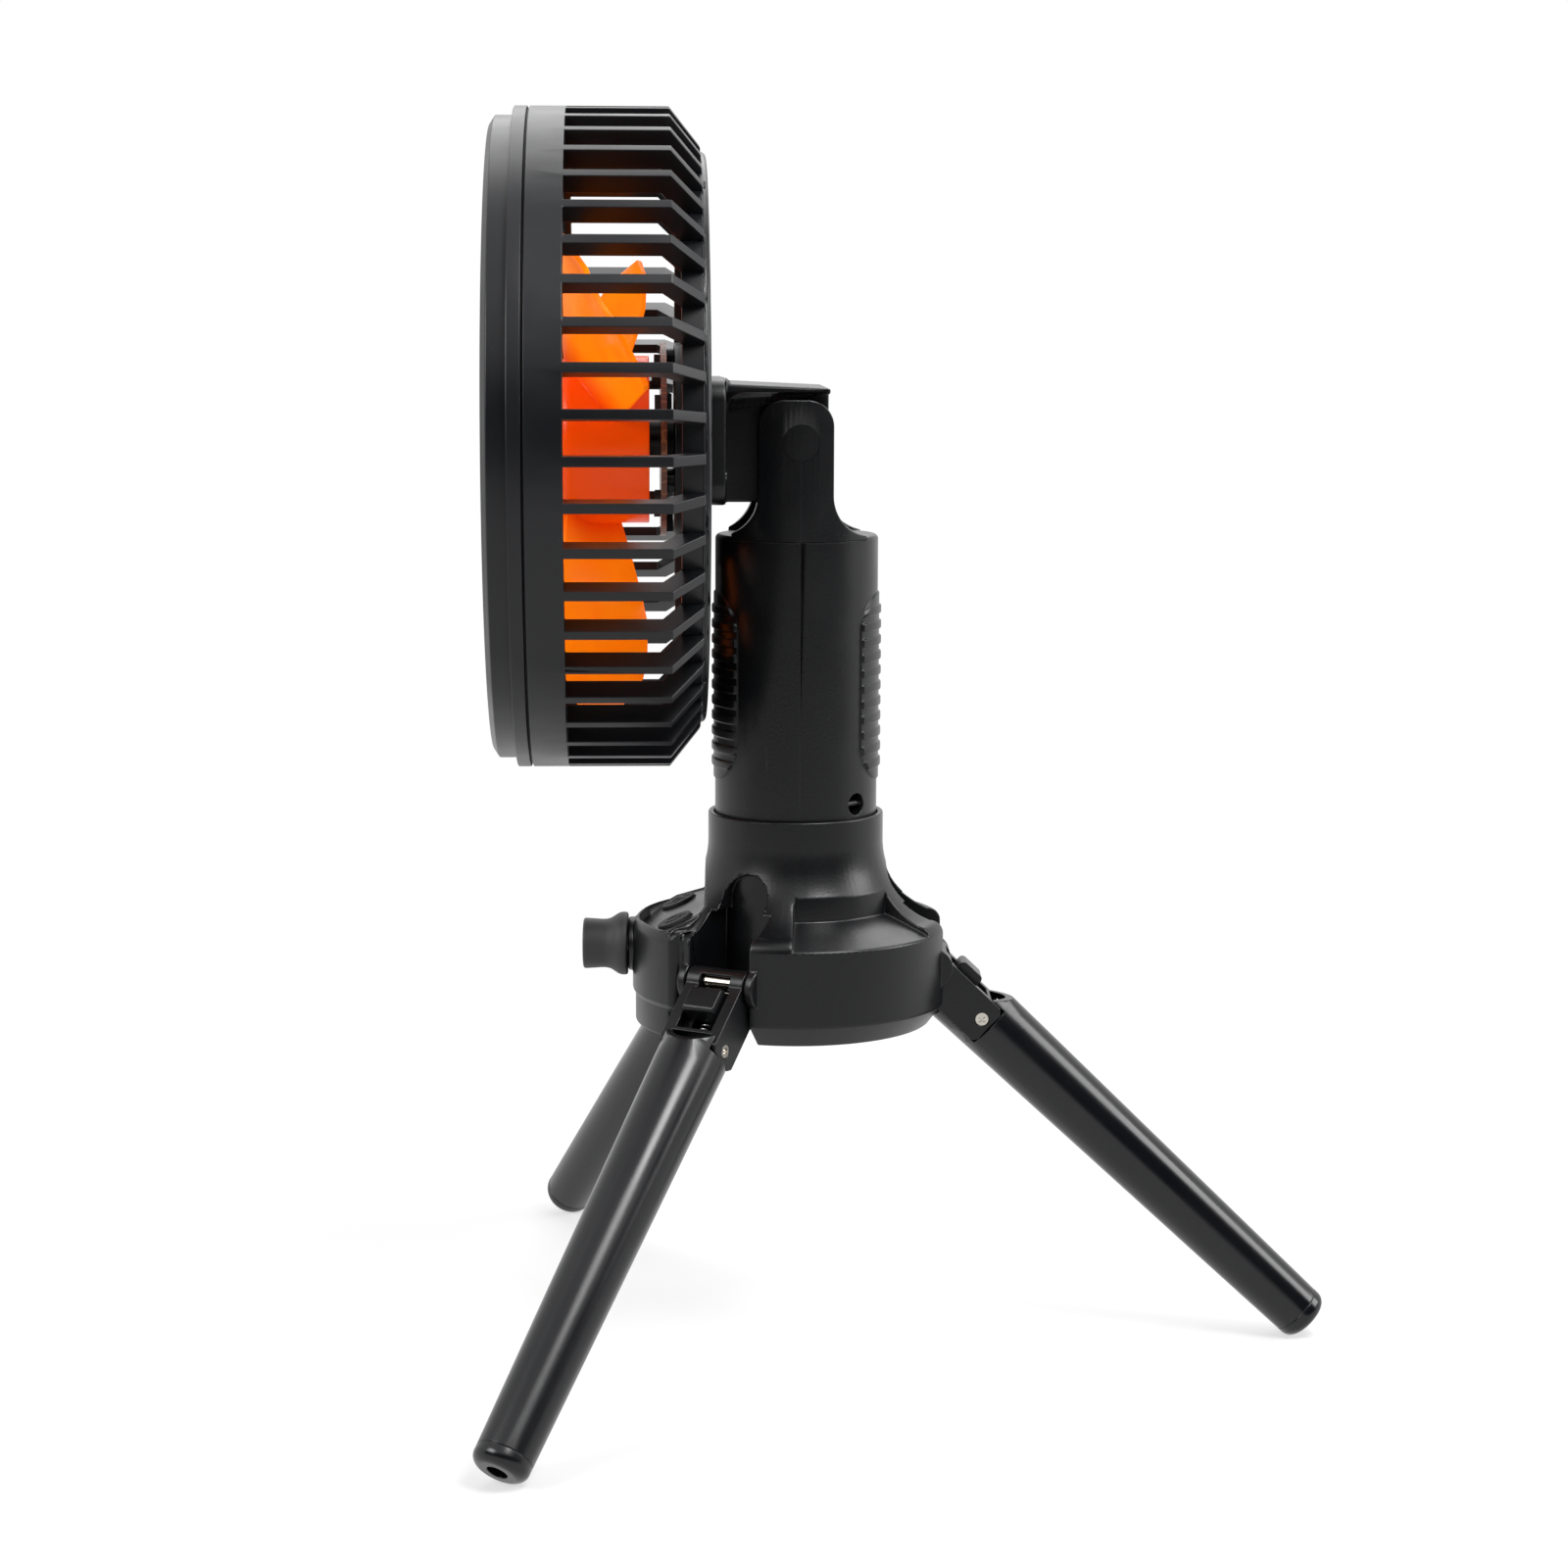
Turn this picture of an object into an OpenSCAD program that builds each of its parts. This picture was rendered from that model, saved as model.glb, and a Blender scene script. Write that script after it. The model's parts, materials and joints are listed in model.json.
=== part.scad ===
// Portable fan on a folding tripod: slatted head on a tilting fork, round handle, three-lobed
// hub with a speed knob and two buttons, and three sprung-latch legs.
// Z is up and the fan blows towards -Y. The origin is the centre of the hub's flat underside.

/* [Head] */
// Outside diameter of the shroud ring
head_d = 180; // [170:1:200]
// Distance from the tilt axis to the back of the head
head_back = 25.5; // [24:0.5:32]
// Depth of the slatted cage, from the back of the head to the shroud ring
cage_depth = 37.5; // [36:0.5:44]
// Width of the shroud ring behind its seam
ring_w = 10.4; // [8:0.2:14]
// Wall of the shroud ring
ring_wall = 2.6; // [2:0.1:3.2]
// Radius of the rear rim that the slats run down to
rim_r = 78; // [74:0.5:80]
// Width of the rear rim
rim_w = 7.5; // [6.5:0.5:10]
// Number of slats round the cage
slat_count = 48; // [36:1:56]
// Thickness of a slat
slat_t = 2.7; // [2:0.1:3.2]
// Depth of a slat, measured inwards from its outer edge
slat_depth = 5.6; // [4:0.1:7]
// Distance from the back of the head to the bend in each slat
slat_bend = 9.9; // [8:0.1:14]
// Turn of the slat pattern from the sideways axis
slat_turn = -1.1; // [-3.5:0.1:3.5]

/* [Guard] */
// Width of the guard's full-size rim, in front of the seam
guard_rim_w = 3.6; // [3:0.1:6]
// Depth of the guard's stepped bezel
bezel_w = 6.6; // [5:0.1:9]
// How far the bezel is set in from the rim
bezel_step = 2.5; // [1.5:0.1:4]
// Radius of the plain disc at the centre of the guard
guard_hub_r = 25; // [22:0.5:30]
// Number of curved ribs in the guard's inner zone; the outer zone has twice as many
rib_count = 24; // [18:1:28]
// Thickness of a guard rib
rib_t = 1.7; // [1.4:0.1:2.2]
// Depth of a guard rib
rib_depth = 3.2; // [2.6:0.1:4]

/* [Impeller] */
// Number of blades
blade_count = 3; // [3:1:7]
// Tip radius of the blades
blade_r = 76.5; // [70:0.5:78]
// Thickness of a blade
blade_t = 1.6; // [1.2:0.1:2.2]
// Angle that each blade spans at its root
blade_span = 58; // [40:1:60]
// Axial depth of a blade
blade_depth = 23.5; // [18:0.5:23.5]
// Outside radius of the impeller's hub
boss_r = 22.9; // [22.5:0.1:26]
// Wall of the impeller's hub
boss_wall = 2; // [1.6:0.1:2.4]
// Turn of the impeller about its axis
blade_turn = 44; // [0:1:120]

/* [Motor] */
// Radius of the motor's circuit board
board_r = 26.5; // [25:0.5:30]
// Thickness of the motor's circuit board
board_t = 1.6; // [1.2:0.1:2]
// Radius of the motor shaft
shaft_r = 1.5; // [1.5:0.25:2]
// Outside radius of a shaft bearing
bearing_r = 4; // [4:0.5:5]
// Width of a shaft bearing
bearing_w = 4; // [3:0.5:5]
// Number of stator teeth
teeth = 9; // [6:3:12]

/* [Neck] */
// Height of the neck block
neck_h = 33; // [30:0.5:36]
// Width of the neck block's flange against the head
neck_w = 46; // [44:1:50]
// Width of the neck's tongue between the fork arms
tongue_w = 24; // [20:0.5:26]
// Distance that the neck block runs behind the tilt axis
neck_tail = 8; // [6:0.5:9]
// Radius of the tilt pin
pivot_r = 3; // [2.5:0.1:3.5]
// Height of the tilt axis above the handle's shoulder
pivot_rise = 25.8; // [24:0.2:32]

/* [Handle] */
// Radius of the handle
handle_r = 22.6; // [22.2:0.1:25]
// Length of the handle that shows above the hub's collar
handle_l = 77.6; // [76:0.2:100]
// Wall of the handle's two shells
handle_wall = 2.3; // [2:0.1:2.4]
// Depth of a fork arm, front to back
arm_w = 20.5; // [18:0.5:24]
// Number of ribs in each grip
grip_ribs = 11; // [7:1:13]
// Distance from one grip rib to the next
grip_pitch = 4.26; // [3.8:0.02:4.4]
// Radius of a battery cell
cell_r = 9.2; // [9:0.1:9.3]
// Length of a battery cell
cell_l = 65; // [60:0.5:66]
// Radius of the strap hole
strap_r = 3; // [2.5:0.1:3.4]

/* [Hub] */
// Radius of the hub's lobes
hub_r = 42.5; // [41.5:0.5:46]
// Height of the bevel round the hub's underside
hub_bevel = 6; // [4:0.5:8]
// Inset of the underside from the lobes
hub_tuck = 4.5; // [3:0.5:6]
// Rounding of the lobes' shoulder
shoulder_r = 3.7; // [2.5:0.1:4.5]
// Wall of the hub
hub_wall = 2.4; // [2:0.1:3]
// Wall of the collar that holds the handle
collar_wall = 1.6; // [1.4:0.1:2.4]
// Height of the collar's rim above the hub's underside
collar_h = 59.4; // [57:0.2:66]
// Radius of the hollow flare between lobes and collar
flare_r = 23.5; // [22.5:0.5:24.5]
// Height at which the flare meets the collar
flare_top = 51.5; // [51:0.5:52.5]
// Forward bulge of the front lobe
front_bulge = 3.3; // [2:0.1:5]
// Height of the bevel under the front lobe's bulge
bulge_bevel = 9; // [7:0.5:10]
// Rounding of the bulge's two upright edges
bulge_round = 3; // [2:0.1:4]
// Turn of the hub and legs under the handle
hub_turn = -2.9; // [-6:0.1:6]
// Radius of the back wall of the side lobes' ledges
ledge_r = 28.4; // [27:0.2:30]
// Angle that each ledge spans
ledge_span = 62; // [50:1:66]

/* [Controls] */
// Slope of the button panel
panel_slope = 23.6; // [18:0.2:24]
// Distance of each button from the middle of the panel
button_x = 14.5; // [13:0.5:15]
// Length of a button, across the panel
button_l = 12; // [10:0.5:12.5]
// Width of a button, up the panel
button_w = 10; // [8:0.5:10]
// Travel of a button
button_travel = 0.8; // [0.5:0.1:1]
// Radius of the knob's grip
knob_r = 7.15; // [6:0.05:8]
// Radius of the knob's flange
knob_flange_r = 8.9; // [8.2:0.1:10]
// Length of the knob
knob_l = 12.5; // [10:0.5:16]
// Height of the knob above the hub's underside
knob_z = 21; // [20:0.2:21.4]
// Radius of the knob's spindle
spindle_r = 2.5; // [2:0.1:2.6]

/* [Legs] */
// Angle of each leg below the level
leg_droop = 43.3; // [35:0.1:55]
// Length from the hinge pin to the end of the foot
leg_l = 150.2; // [130:0.1:170]
// Radius of the leg tube at its mouth
leg_top_r = 10; // [9.8:0.1:10.4]
// Radius of the leg tube at its foot
leg_tip_r = 7.7; // [7:0.1:8.5]
// Wall of the leg tube
leg_wall = 1.5; // [1.2:0.1:2]
// Offset of the leg's axis below its hinge pin
leg_drop = 2.6; // [2.3:0.1:3]
// Radius from the hub's axis to the hinge pins
hinge_r = 40; // [39.2:0.1:40.8]
// Height of the hinge pins above the hub's underside
hinge_z = 16.8; // [15.8:0.2:19]
// Radius of a hinge pin
pin_r = 2; // [1.75:0.05:2.25]
// Radius of the rounded knuckles of a leg bracket
knuckle_r = 4.1; // [3.9:0.1:4.5]
// Width of a leg bracket across its cheeks
bracket_w = 17.8; // [17:0.1:18]
// Length of a bracket's cheeks from the hinge pin
cheek_l = 22.9; // [21.8:0.1:25]
// Travel of a leg latch
latch_travel = 2.2; // [1.5:0.1:2.4]
// Length of the foot cap
foot_l = 4.6; // [4:0.2:8]
// Rounding of the foot's end
foot_round = 3; // [2:0.1:3.2]

/* [Fits] */
// Running clearance round a pin or shaft
running = 0.05; // [0.03:0.01:0.08]
// Clearance between parts that move past each other
clear = 0.3; // [0.25:0.05:0.4]
// Clearance round a part that drops into a recess
seat_gap = 0.15; // [0.1:0.05:0.2]

/* [Hidden] */

$fn = 72;
eps = 0.01;

black = "#202225";
black_gloss = "#26282b";
rubber = "#1a1a1b";
orange = "#ff6a10";
steel = "#b9bcc0";
nickel = "#d6cdbd";
copper = "#b87333";
fibreglass = "#5a3a28";

// Head, measured forwards from the tilt axis
head_r = head_d / 2;
ring_z = head_back + cage_depth;
seam_z = ring_z + ring_w;
step_z = seam_z + guard_rim_w;
front_z = step_z + bezel_w;
bezel_r = head_r - bezel_step;
bezel_chamfer = 2.4;
bend_z = head_back + slat_bend;
slat_foot = 1.6;
rim_t = 4;
cover_t = 2.5;
cover_z = head_back + 0.5;
cover_top = cover_z + cover_t;
ledge_t = 2;
groove = 0.6;
guard_t = 2;
spigot_l = 4;
cover_screw_r = 64;

// Motor stack, measured forwards from the tilt axis
mount_top = cover_top + 5.5;
board_z = mount_top + 2.2;
stator_l = 11;
stator_z = board_z + board_t + 5;
boss_back = board_z + board_t + 3.1;
boss_front = boss_back + 25;
tube_r = bearing_r + 1.6;
tube_top = stator_z + stator_l + 1.5;
can_r = boss_r - boss_wall;
can_t = 1.3;
magnet_t = 2;
stator_r = can_r - can_t - magnet_t - 0.6;
blade_mid = boss_back + 1 + blade_depth / 2;

// Tilt fork
collar_r = handle_r + clear + collar_wall;
shoulder_top = collar_h + handle_l;
pivot_z = shoulder_top + pivot_rise;
arm_gap = 0.7;
arm_in = tongue_w / 2 + arm_gap;
arm_back = 9;
arm_front = arm_w - arm_back;
arm_top = 11.5;
arm_round = 7.2;
neck_front = head_back - 5.2;
overhang_h = 3.6;
pocket_round = 5.5;
pin_reach = handle_r - 1.6;
cap_r = 5;

// Handle
handle_foot = 28;
grip_z = collar_h + 35.6;
grip_h = (grip_ribs - 1) * grip_pitch + 9.4;
grip_w = 30.6;
grip_rise = 0.45;
rib_rise = 0.55;
strap_z = collar_h + strap_r + 0.9;
strap_turn = 45;
strap_in = handle_r - 5;
cell_z = shoulder_top - handle_wall - cell_l - 3.4;
post_z = collar_h + 2.6;
arm_screw_z = pivot_z - 14;
handle_screw_l = 12;

// Hub
core_r = handle_r + clear + 1.2;
flare_mid = collar_r + flare_r;
top_z = flare_top - sqrt(pow(flare_r, 2) - pow(flare_mid - (hub_r - shoulder_r), 2));
shoulder_z = top_z - shoulder_r;
ledge_z = top_z + 2.5;
bulge_half = 46;
bulge_core = hub_r - bulge_round;
leg_turns = [-30, 210, 90];
lobe_turns = [30, 150];
slot_w = bracket_w + 1;
slot_top = 34.6;
niche_w = 14;
niche_top = 44.4;
slot_wall = 2.6;
pin_l = slot_w + 2 * slot_wall - 0.8;
hinge_boss_r = 5.6;
cover_plate_t = 2;
cover_plate_r = hub_r - hub_tuck - hub_wall - 1;
socket_floor = handle_foot - 2;
hub_screw_r = core_r + 2;
hub_screw_turns = [8, 52, 128, 172, 248, 292];

// Button panel, whose own frame lies on the slope
panel_z = 30;
panel_t = 1.5;
panel_r = hub_r - 2;
panel_in_r = 25.4;
panel_y = -(panel_in_r + button_w / 2 + 2.9);
panel_half = 40;
button_rise = 1;
button_y = 0;
button_lip = 0.6;
panel_ledge = 1.2;
panel_roof = 3.2;
board_drop = 5;
board_depth = 9;
dial_back = hub_r + front_bulge - hub_wall - 6.5;
dial_l = 4.8;
dial_w = 9.2;
dial_top = panel_z - (dial_back + dial_l + panel_y) * tan(panel_slope) - panel_t / cos(panel_slope) - clear;
knob_back = front_bulge + hub_r + 1.4;

// Legs
floor_z = hinge_z - (leg_l - foot_round) * sin(leg_droop)
    - (leg_drop + leg_tip_r - foot_round) * cos(leg_droop) - foot_round;
cheek_top = 3;
cheek_low = -9;
cheek_t = 2.7;
cheek_in = bracket_w / 2 - cheek_t;
ear_gap = 9.4;
sleeve_r = pin_r + 0.6;
sleeve_gap = sleeve_r + 0.4;
tube_lip = 9.8;
mouth_slope = 5.5;
tube_start = cheek_l - 4.5;
channel_w = 2 * cheek_in - 1.4;
latch_w = channel_w - 1.4;
latch_front = 5;
latch_l = 7.8;
latch_back = latch_front + latch_l;
latch_top = 5.6;
latch_crown = 1.3;
channel_floor = -0.5;
well_w = 6.4;
well_floor = -5.6;
well_back = tube_start - 1.8;
tail_w = well_w - 0.6;
tail_back = latch_back - 0.6;
spring_r = 1.8;
wire_r = 0.25;
screw_x = cheek_l - 3.2;
screw_r = 1.8;
plug_l = 9;
foot_hole_r = 2.8;

// ---------------------------------------------------------------- frames

// The head's own frame: its axis is Z, pointing the way the fan blows
module in_head() {
    translate([0, 0, pivot_z]) rotate([90, 0, 0]) children();
}

// The hub's own frame, which is turned a little under the handle
module on_hub() {
    rotate([0, 0, hub_turn]) children();
}

// Inside the hub's frame, a frame whose Z points out of the front lobe, along the knob's axis
module in_knob() {
    translate([0, 0, knob_z]) rotate([90, 0, 0]) children();
}

// Inside the hub's frame, a frame that lies on the sloping button panel
module in_panel() {
    translate([0, panel_y, panel_z]) rotate([panel_slope, 0, 0]) children();
}

// A leg's frame: the origin is on its hinge pin, X runs down the leg and Y along the pin
module in_leg(turn) {
    rotate([0, 0, turn + hub_turn]) translate([hinge_r, 0, hinge_z]) rotate([0, leg_droop, 0]) children();
}

// The same frame moved onto the centre line of the tube, with Z running down the leg
module on_tube(turn, x = 0) {
    in_leg(turn) translate([x, 0, -leg_drop]) rotate([0, 90, 0]) children();
}

// ---------------------------------------------------------------- shapes

// Tube between two heights
module pipe(r_out, r_in, low, high) {
    translate([0, 0, low]) difference() {
        cylinder(r = r_out, h = high - low);
        translate([0, 0, -eps]) cylinder(r = r_in, h = high - low + 2 * eps);
    }
}

// Disc between two heights
module disc(r, low, high) {
    translate([0, 0, low]) cylinder(r = r, h = high - low);
}

// Copies set evenly round the Z axis
module around(count, turn = 0) {
    for (i = [0:count - 1]) rotate([0, 0, turn + i * 360 / count]) children();
}

// Upright box centred on its base
module post(size_x, size_y, low, high) {
    translate([-size_x / 2, -size_y / 2, low]) cube([size_x, size_y, high - low]);
}

// Flat wedge of a circle, centred on the X axis
module wedge(r, span) {
    polygon([[0, 0], [r * cos(span / 2), -r * sin(span / 2)], [r * 1.4, 0], [r * cos(span / 2), r * sin(span / 2)]]);
}

// Rectangle with four rounded corners
module round_rect(size_x, size_y, r) {
    union() {
        square([size_x - 2 * r, size_y], center = true);
        square([size_x, size_y - 2 * r], center = true);
        for (x = [-1, 1], y = [-1, 1]) {
            translate([x * (size_x / 2 - r), y * (size_y / 2 - r)]) circle(r);
        }
    }
}

// Pan-head screw that points down from its seat at z = 0
module screw(head_r, head_h, shank_r, shank_l) {
    difference() {
        union() {
            disc(head_r, 0, head_h);
            disc(shank_r, -shank_l, eps);
        }
        for (a = [0, 90]) rotate([0, 0, a]) post(head_r * 1.2, head_r * 0.3, head_h * 0.45, head_h + 1);
    }
}

// ---------------------------------------------------------------- head

// Outline of one slat, as radius and height
module slat_outline() {
    low_r = rim_r + slat_foot;
    low_z = head_back + slat_foot;
    polygon([
        [head_r, ring_z + eps], [head_r, bend_z], [low_r, low_z], [rim_r - eps, low_z],
        [rim_r - eps, low_z + slat_depth * 1.1], [head_r - slat_depth, bend_z + slat_depth * 0.45],
        [head_r - slat_depth, ring_z + eps]
    ]);
}

// Shroud ring, slats and rear rim in one moulding
module rear_cage() {
    color(black) in_head() {
        difference() {
            union() {
                pipe(head_r, head_r - ring_wall, ring_z, seam_z - groove);
                pipe(head_r - 0.9, head_r - ring_wall, seam_z - groove - eps, seam_z);
                pipe(head_r, head_r - slat_depth, ring_z, ring_z + 2);
                rotate_extrude() difference() {
                    translate([rim_r - rim_t, head_back]) square([rim_t, rim_w]);
                    translate([rim_r - 1.6, head_back - eps]) difference() {
                        square(2);
                        translate([0, 1.6 + eps]) circle(1.6);
                    }
                }
                pipe(rim_r - rim_t + eps, rim_r - rim_t - 3, cover_top, cover_top + ledge_t);
                around(slat_count, slat_turn) rotate([90, 0, 0]) linear_extrude(slat_t, center = true) {
                    slat_outline();
                }
            }
        }
    }
}

// Curved rib between two radii, bent the way the impeller turns
module guard_rib(r_in, r_out) {
    chord = r_out - r_in;
    bow = chord * 1.15;
    half = asin(chord / 2 / bow);
    translate([r_in + chord / 2, -bow * cos(half), 0]) rotate([0, 0, 90 - half]) {
        rotate_extrude(angle = 2 * half) translate([bow - rib_t / 2, 0]) square([rib_t, rib_depth]);
    }
}

// Front guard: stepped bezel, rings and curved ribs
module front_guard() {
    mid_r = guard_hub_r + (bezel_r - guard_hub_r) * 0.42;
    rib_z = front_z - rib_depth - 0.6;
    color(black) in_head() {
        pipe(head_r, head_r - ring_wall, seam_z, step_z);
        rotate_extrude() difference() {
            translate([bezel_r - guard_t - bezel_chamfer, step_z - guard_t]) {
                square([guard_t + bezel_chamfer + bezel_step - 0.5, bezel_w + guard_t]);
            }
            translate([bezel_r, step_z]) square([bezel_step + 1, bezel_w + 1]);
            translate([bezel_r - guard_t - bezel_chamfer - 1, step_z - guard_t - 1]) {
                square([bezel_chamfer + 1, bezel_w - rib_depth]);
            }
            translate([bezel_r - bezel_chamfer, front_z]) rotate(-32) square([bezel_w, bezel_chamfer * 2]);
        }
        pipe(head_r - ring_wall - seat_gap, head_r - ring_wall - seat_gap - 1.6, seam_z - spigot_l, step_z - eps);
        disc(guard_hub_r, rib_z, rib_z + rib_depth);
        pipe(mid_r + rib_t / 2, mid_r - rib_t / 2, rib_z, rib_z + rib_depth);
        translate([0, 0, rib_z]) {
            around(rib_count) guard_rib(guard_hub_r - 0.4, mid_r);
            around(rib_count * 2) guard_rib(mid_r, bezel_r - guard_t - 0.4);
        }
    }
}

// Plain domed cap on the middle of the guard
module guard_cap() {
    cap_in = guard_hub_r - 2.5;
    color(black_gloss) in_head() intersection() {
        disc(cap_in, front_z - 0.6, front_z);
        translate([0, 0, front_z - cap_in * 9]) sphere(cap_in * 9, $fn = 200);
    }
}

// Vented plate that closes the back of the head
module rear_cover() {
    plate_r = rim_r - rim_t - seat_gap;
    vent_in = 34;
    vent_mid = 49;
    vent_out = 60;
    color(black) in_head() difference() {
        disc(plate_r, cover_z, cover_top);
        for (zone = [[vent_in, vent_mid - 1.5, 24], [vent_mid + 1.5, vent_out, 36]]) {
            around(zone[2]) translate([0, 0, cover_z - 1]) linear_extrude(cover_t + 2) {
                translate([(zone[0] + zone[1]) / 2, 0]) round_rect(zone[1] - zone[0], 3.6, 1.7);
            }
        }
        around(4, 45) translate([cover_screw_r + 4, 0, cover_z - 1]) cylinder(r = 1.6, h = cover_t + 2);
        for (x = [-1, 1], y = [-1, 1]) {
            translate([x * neck_w * 0.3, y * neck_h * 0.28, cover_z - 1])
                cylinder(r = 1.6, h = cover_t + 2);
        }
        around(3, 90) translate([board_r - 4, 0, cover_z - 1]) cylinder(r = 1.3, h = cover_t + 2);
        disc(3, cover_z - 1, cover_top + 1);
    }
}

// Screws that hold the rear cover to the cage
module cover_screws() {
    color(steel) in_head() around(4, 45) translate([cover_screw_r + 4, 0, cover_z]) mirror([0, 0, 1]) {
        screw(2.8, 0.4, 1.5, cover_t + 1.5);
    }
}

// Outline of the neck seen from the side: X runs forwards and Y up from the tilt axis
module neck_side() {
    top = neck_h / 2;
    difference() {
        translate([-neck_tail, -top]) square([neck_tail + cover_z, 2 * top]);
        translate([-neck_tail - 1, top - 1.9]) rotate(2.5) square([neck_tail + neck_front, 5]);
    }
}

// Neck block: flange against the head, overhanging side walls and a tongue for the fork
module neck_block() {
    pocket_d = neck_w / 2 - 3 - tongue_w / 2;
    color(black) in_head() difference() {
        union() {
            translate([0, 0, neck_front]) linear_extrude(cover_z - neck_front)
                round_rect(neck_w, neck_h + 1, 6);
            intersection() {
                rotate([0, -90, 0]) translate([0, 0, -neck_w / 2 + 3]) linear_extrude(neck_w - 6)
                    neck_side();
                translate([0, 0, -neck_tail]) linear_extrude(cover_z + neck_tail) {
                    round_rect(neck_w - 6, neck_h + 6, 6);
                }
            }
        }
        for (side = [-1, 1]) {
            translate([side * (tongue_w / 2 + pocket_d / 2 + 2), 0, 0]) rotate([0, -90, 0]) {
                linear_extrude(pocket_d + 4, center = true) difference() {
                    translate([-neck_tail - 1, -neck_h]) {
                        square([neck_tail + 1 + neck_front, neck_h * 1.5 - overhang_h]);
                    }
                    translate([neck_front - pocket_round, neck_h / 2 - overhang_h - pocket_round])
                        difference() {
                        square(pocket_round + 1);
                        circle(pocket_round);
                    }
                }
            }
        }
        rotate([0, 90, 0]) cylinder(r = pivot_r + running, h = neck_w, center = true);
        for (x = [-1, 1], y = [-1, 1]) {
            translate([x * neck_w * 0.3, y * neck_h * 0.28, cover_z - 6]) cylinder(r = 1.3, h = 7);
        }
    }
}

// Screws that pull the neck block against the rear cover
module neck_screws() {
    color(steel) in_head() for (x = [-1, 1], y = [-1, 1]) {
        translate([x * neck_w * 0.3, y * neck_h * 0.28, cover_top]) screw(2.6, 1.6, 1.3, cover_t + 6);
    }
}

// ---------------------------------------------------------------- motor

// Motor mount: a raised disc, three board posts and the tube that holds the bearings
module motor_mount() {
    color(black) in_head() difference() {
        union() {
            pipe(board_r, board_r - 2, cover_top, mount_top);
            disc(board_r, mount_top - 2, mount_top);
            disc(tube_r + 2.5, cover_top, mount_top);
            disc(tube_r, cover_top, tube_top);
            around(3, 90) translate([board_r - 4, 0, 0]) disc(2.4, cover_top, board_z);
        }
        translate([0, 0, cover_top - 1]) cylinder(r = shaft_r + 1, h = tube_top);
        disc(bearing_r, mount_top, mount_top + bearing_w + 1);
        disc(bearing_r, tube_top - bearing_w, tube_top + 1);
        disc(bearing_r - 0.6, mount_top, tube_top);
        around(3, 90) translate([board_r - 4, 0, cover_top - 1]) cylinder(r = 1, h = 5);
        for (x = [-1, 1], y = [-1, 1]) {
            translate([x * neck_w * 0.3, y * neck_h * 0.28, cover_top - 1]) cylinder(r = 3, h = 4);
        }
    }
}

// Round circuit board behind the motor
module motor_board() {
    color(fibreglass) in_head() difference() {
        disc(board_r, board_z, board_z + board_t);
        disc(tube_r, board_z - 1, board_z + board_t + 1);
        around(3, 210) translate([board_r - 3, 0, board_z - 1]) cylinder(r = 1.1, h = board_t + 2);
    }
}

// Driver chips, a capacitor and a plug on the two faces of the board
module motor_parts() {
    color(black) in_head() {
        around(3, 30) translate([board_r - 8, 0, 0]) post(5, 6, board_z - 1.4, board_z);
        rotate([0, 0, 60]) translate([board_r - 7, 0, 0])
            disc(2.6, board_z + board_t, board_z + board_t + 2.4);
        around(5, 100) translate([board_r - 4.5, 0, 0])
            post(2.4, 4.4, board_z + board_t, board_z + board_t + 1.7);
        rotate([0, 0, 270]) translate([board_r - 4, 0, 0]) post(5, 9, board_z - 1.9, board_z);
    }
}

// Laminated core with one tooth for each coil
module stator_core() {
    color(steel) in_head() translate([0, 0, stator_z]) linear_extrude(stator_l) difference() {
        union() {
            circle(tube_r + 2);
            around(teeth) translate([tube_r, -1.1]) square([stator_r - tube_r - 1, 2.2]);
            intersection() {
                difference() {
                    circle(stator_r);
                    circle(stator_r - 1.4);
                }
                around(teeth) translate([stator_r - 2, -3.6]) square([4, 7.2]);
            }
        }
        circle(tube_r);
    }
}

// Copper coil round each stator tooth
module stator_coils() {
    coil_in = tube_r + 2.6;
    coil_l = stator_r - 1.9 - coil_in;
    color(copper) in_head() around(teeth) translate([coil_in + coil_l / 2, 0, 0]) difference() {
        post(coil_l, 4.4, stator_z - 1.1, stator_z + stator_l + 1.1);
        post(coil_l + 1, 2.2, stator_z, stator_z + stator_l);
    }
}

// The two bearings at the ends of the mount's tube
module shaft_bearings() {
    color(steel) in_head() {
        pipe(bearing_r, shaft_r + running, mount_top, mount_top + bearing_w);
        pipe(bearing_r, shaft_r + running, tube_top - bearing_w, tube_top);
    }
}

// Shaft from the rear bearing to the impeller's nose
module motor_shaft() {
    color(steel) in_head() disc(shaft_r, mount_top - 1, boss_front - 3);
}

// Steel can inside the impeller's hub
module rotor_can() {
    can_back = boss_back + 1;
    can_top = tube_top + 3;
    color(steel) in_head() {
        pipe(can_r, can_r - can_t, can_back, can_top);
        pipe(can_r, shaft_r, can_top - eps, can_top + can_t);
    }
}

// Ring magnet inside the can
module rotor_magnet() {
    color("#4a4a4c") in_head() {
        pipe(can_r - can_t, can_r - can_t - magnet_t, stator_z - 1.5, stator_z + stator_l + 1.5);
    }
}

// Half the angle of the blade at a station s from 0 at its root to 1 at its tip
function blade_half(s) = blade_span / 2 * (1 - 0.34 * s) * pow(1 - pow(max(0, (s - 0.72) / 0.285), 2.6), 1 / 2.6);

// Sweep of the blade's middle line at a station
function blade_sweep(s) = -13 * s * s;

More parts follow.
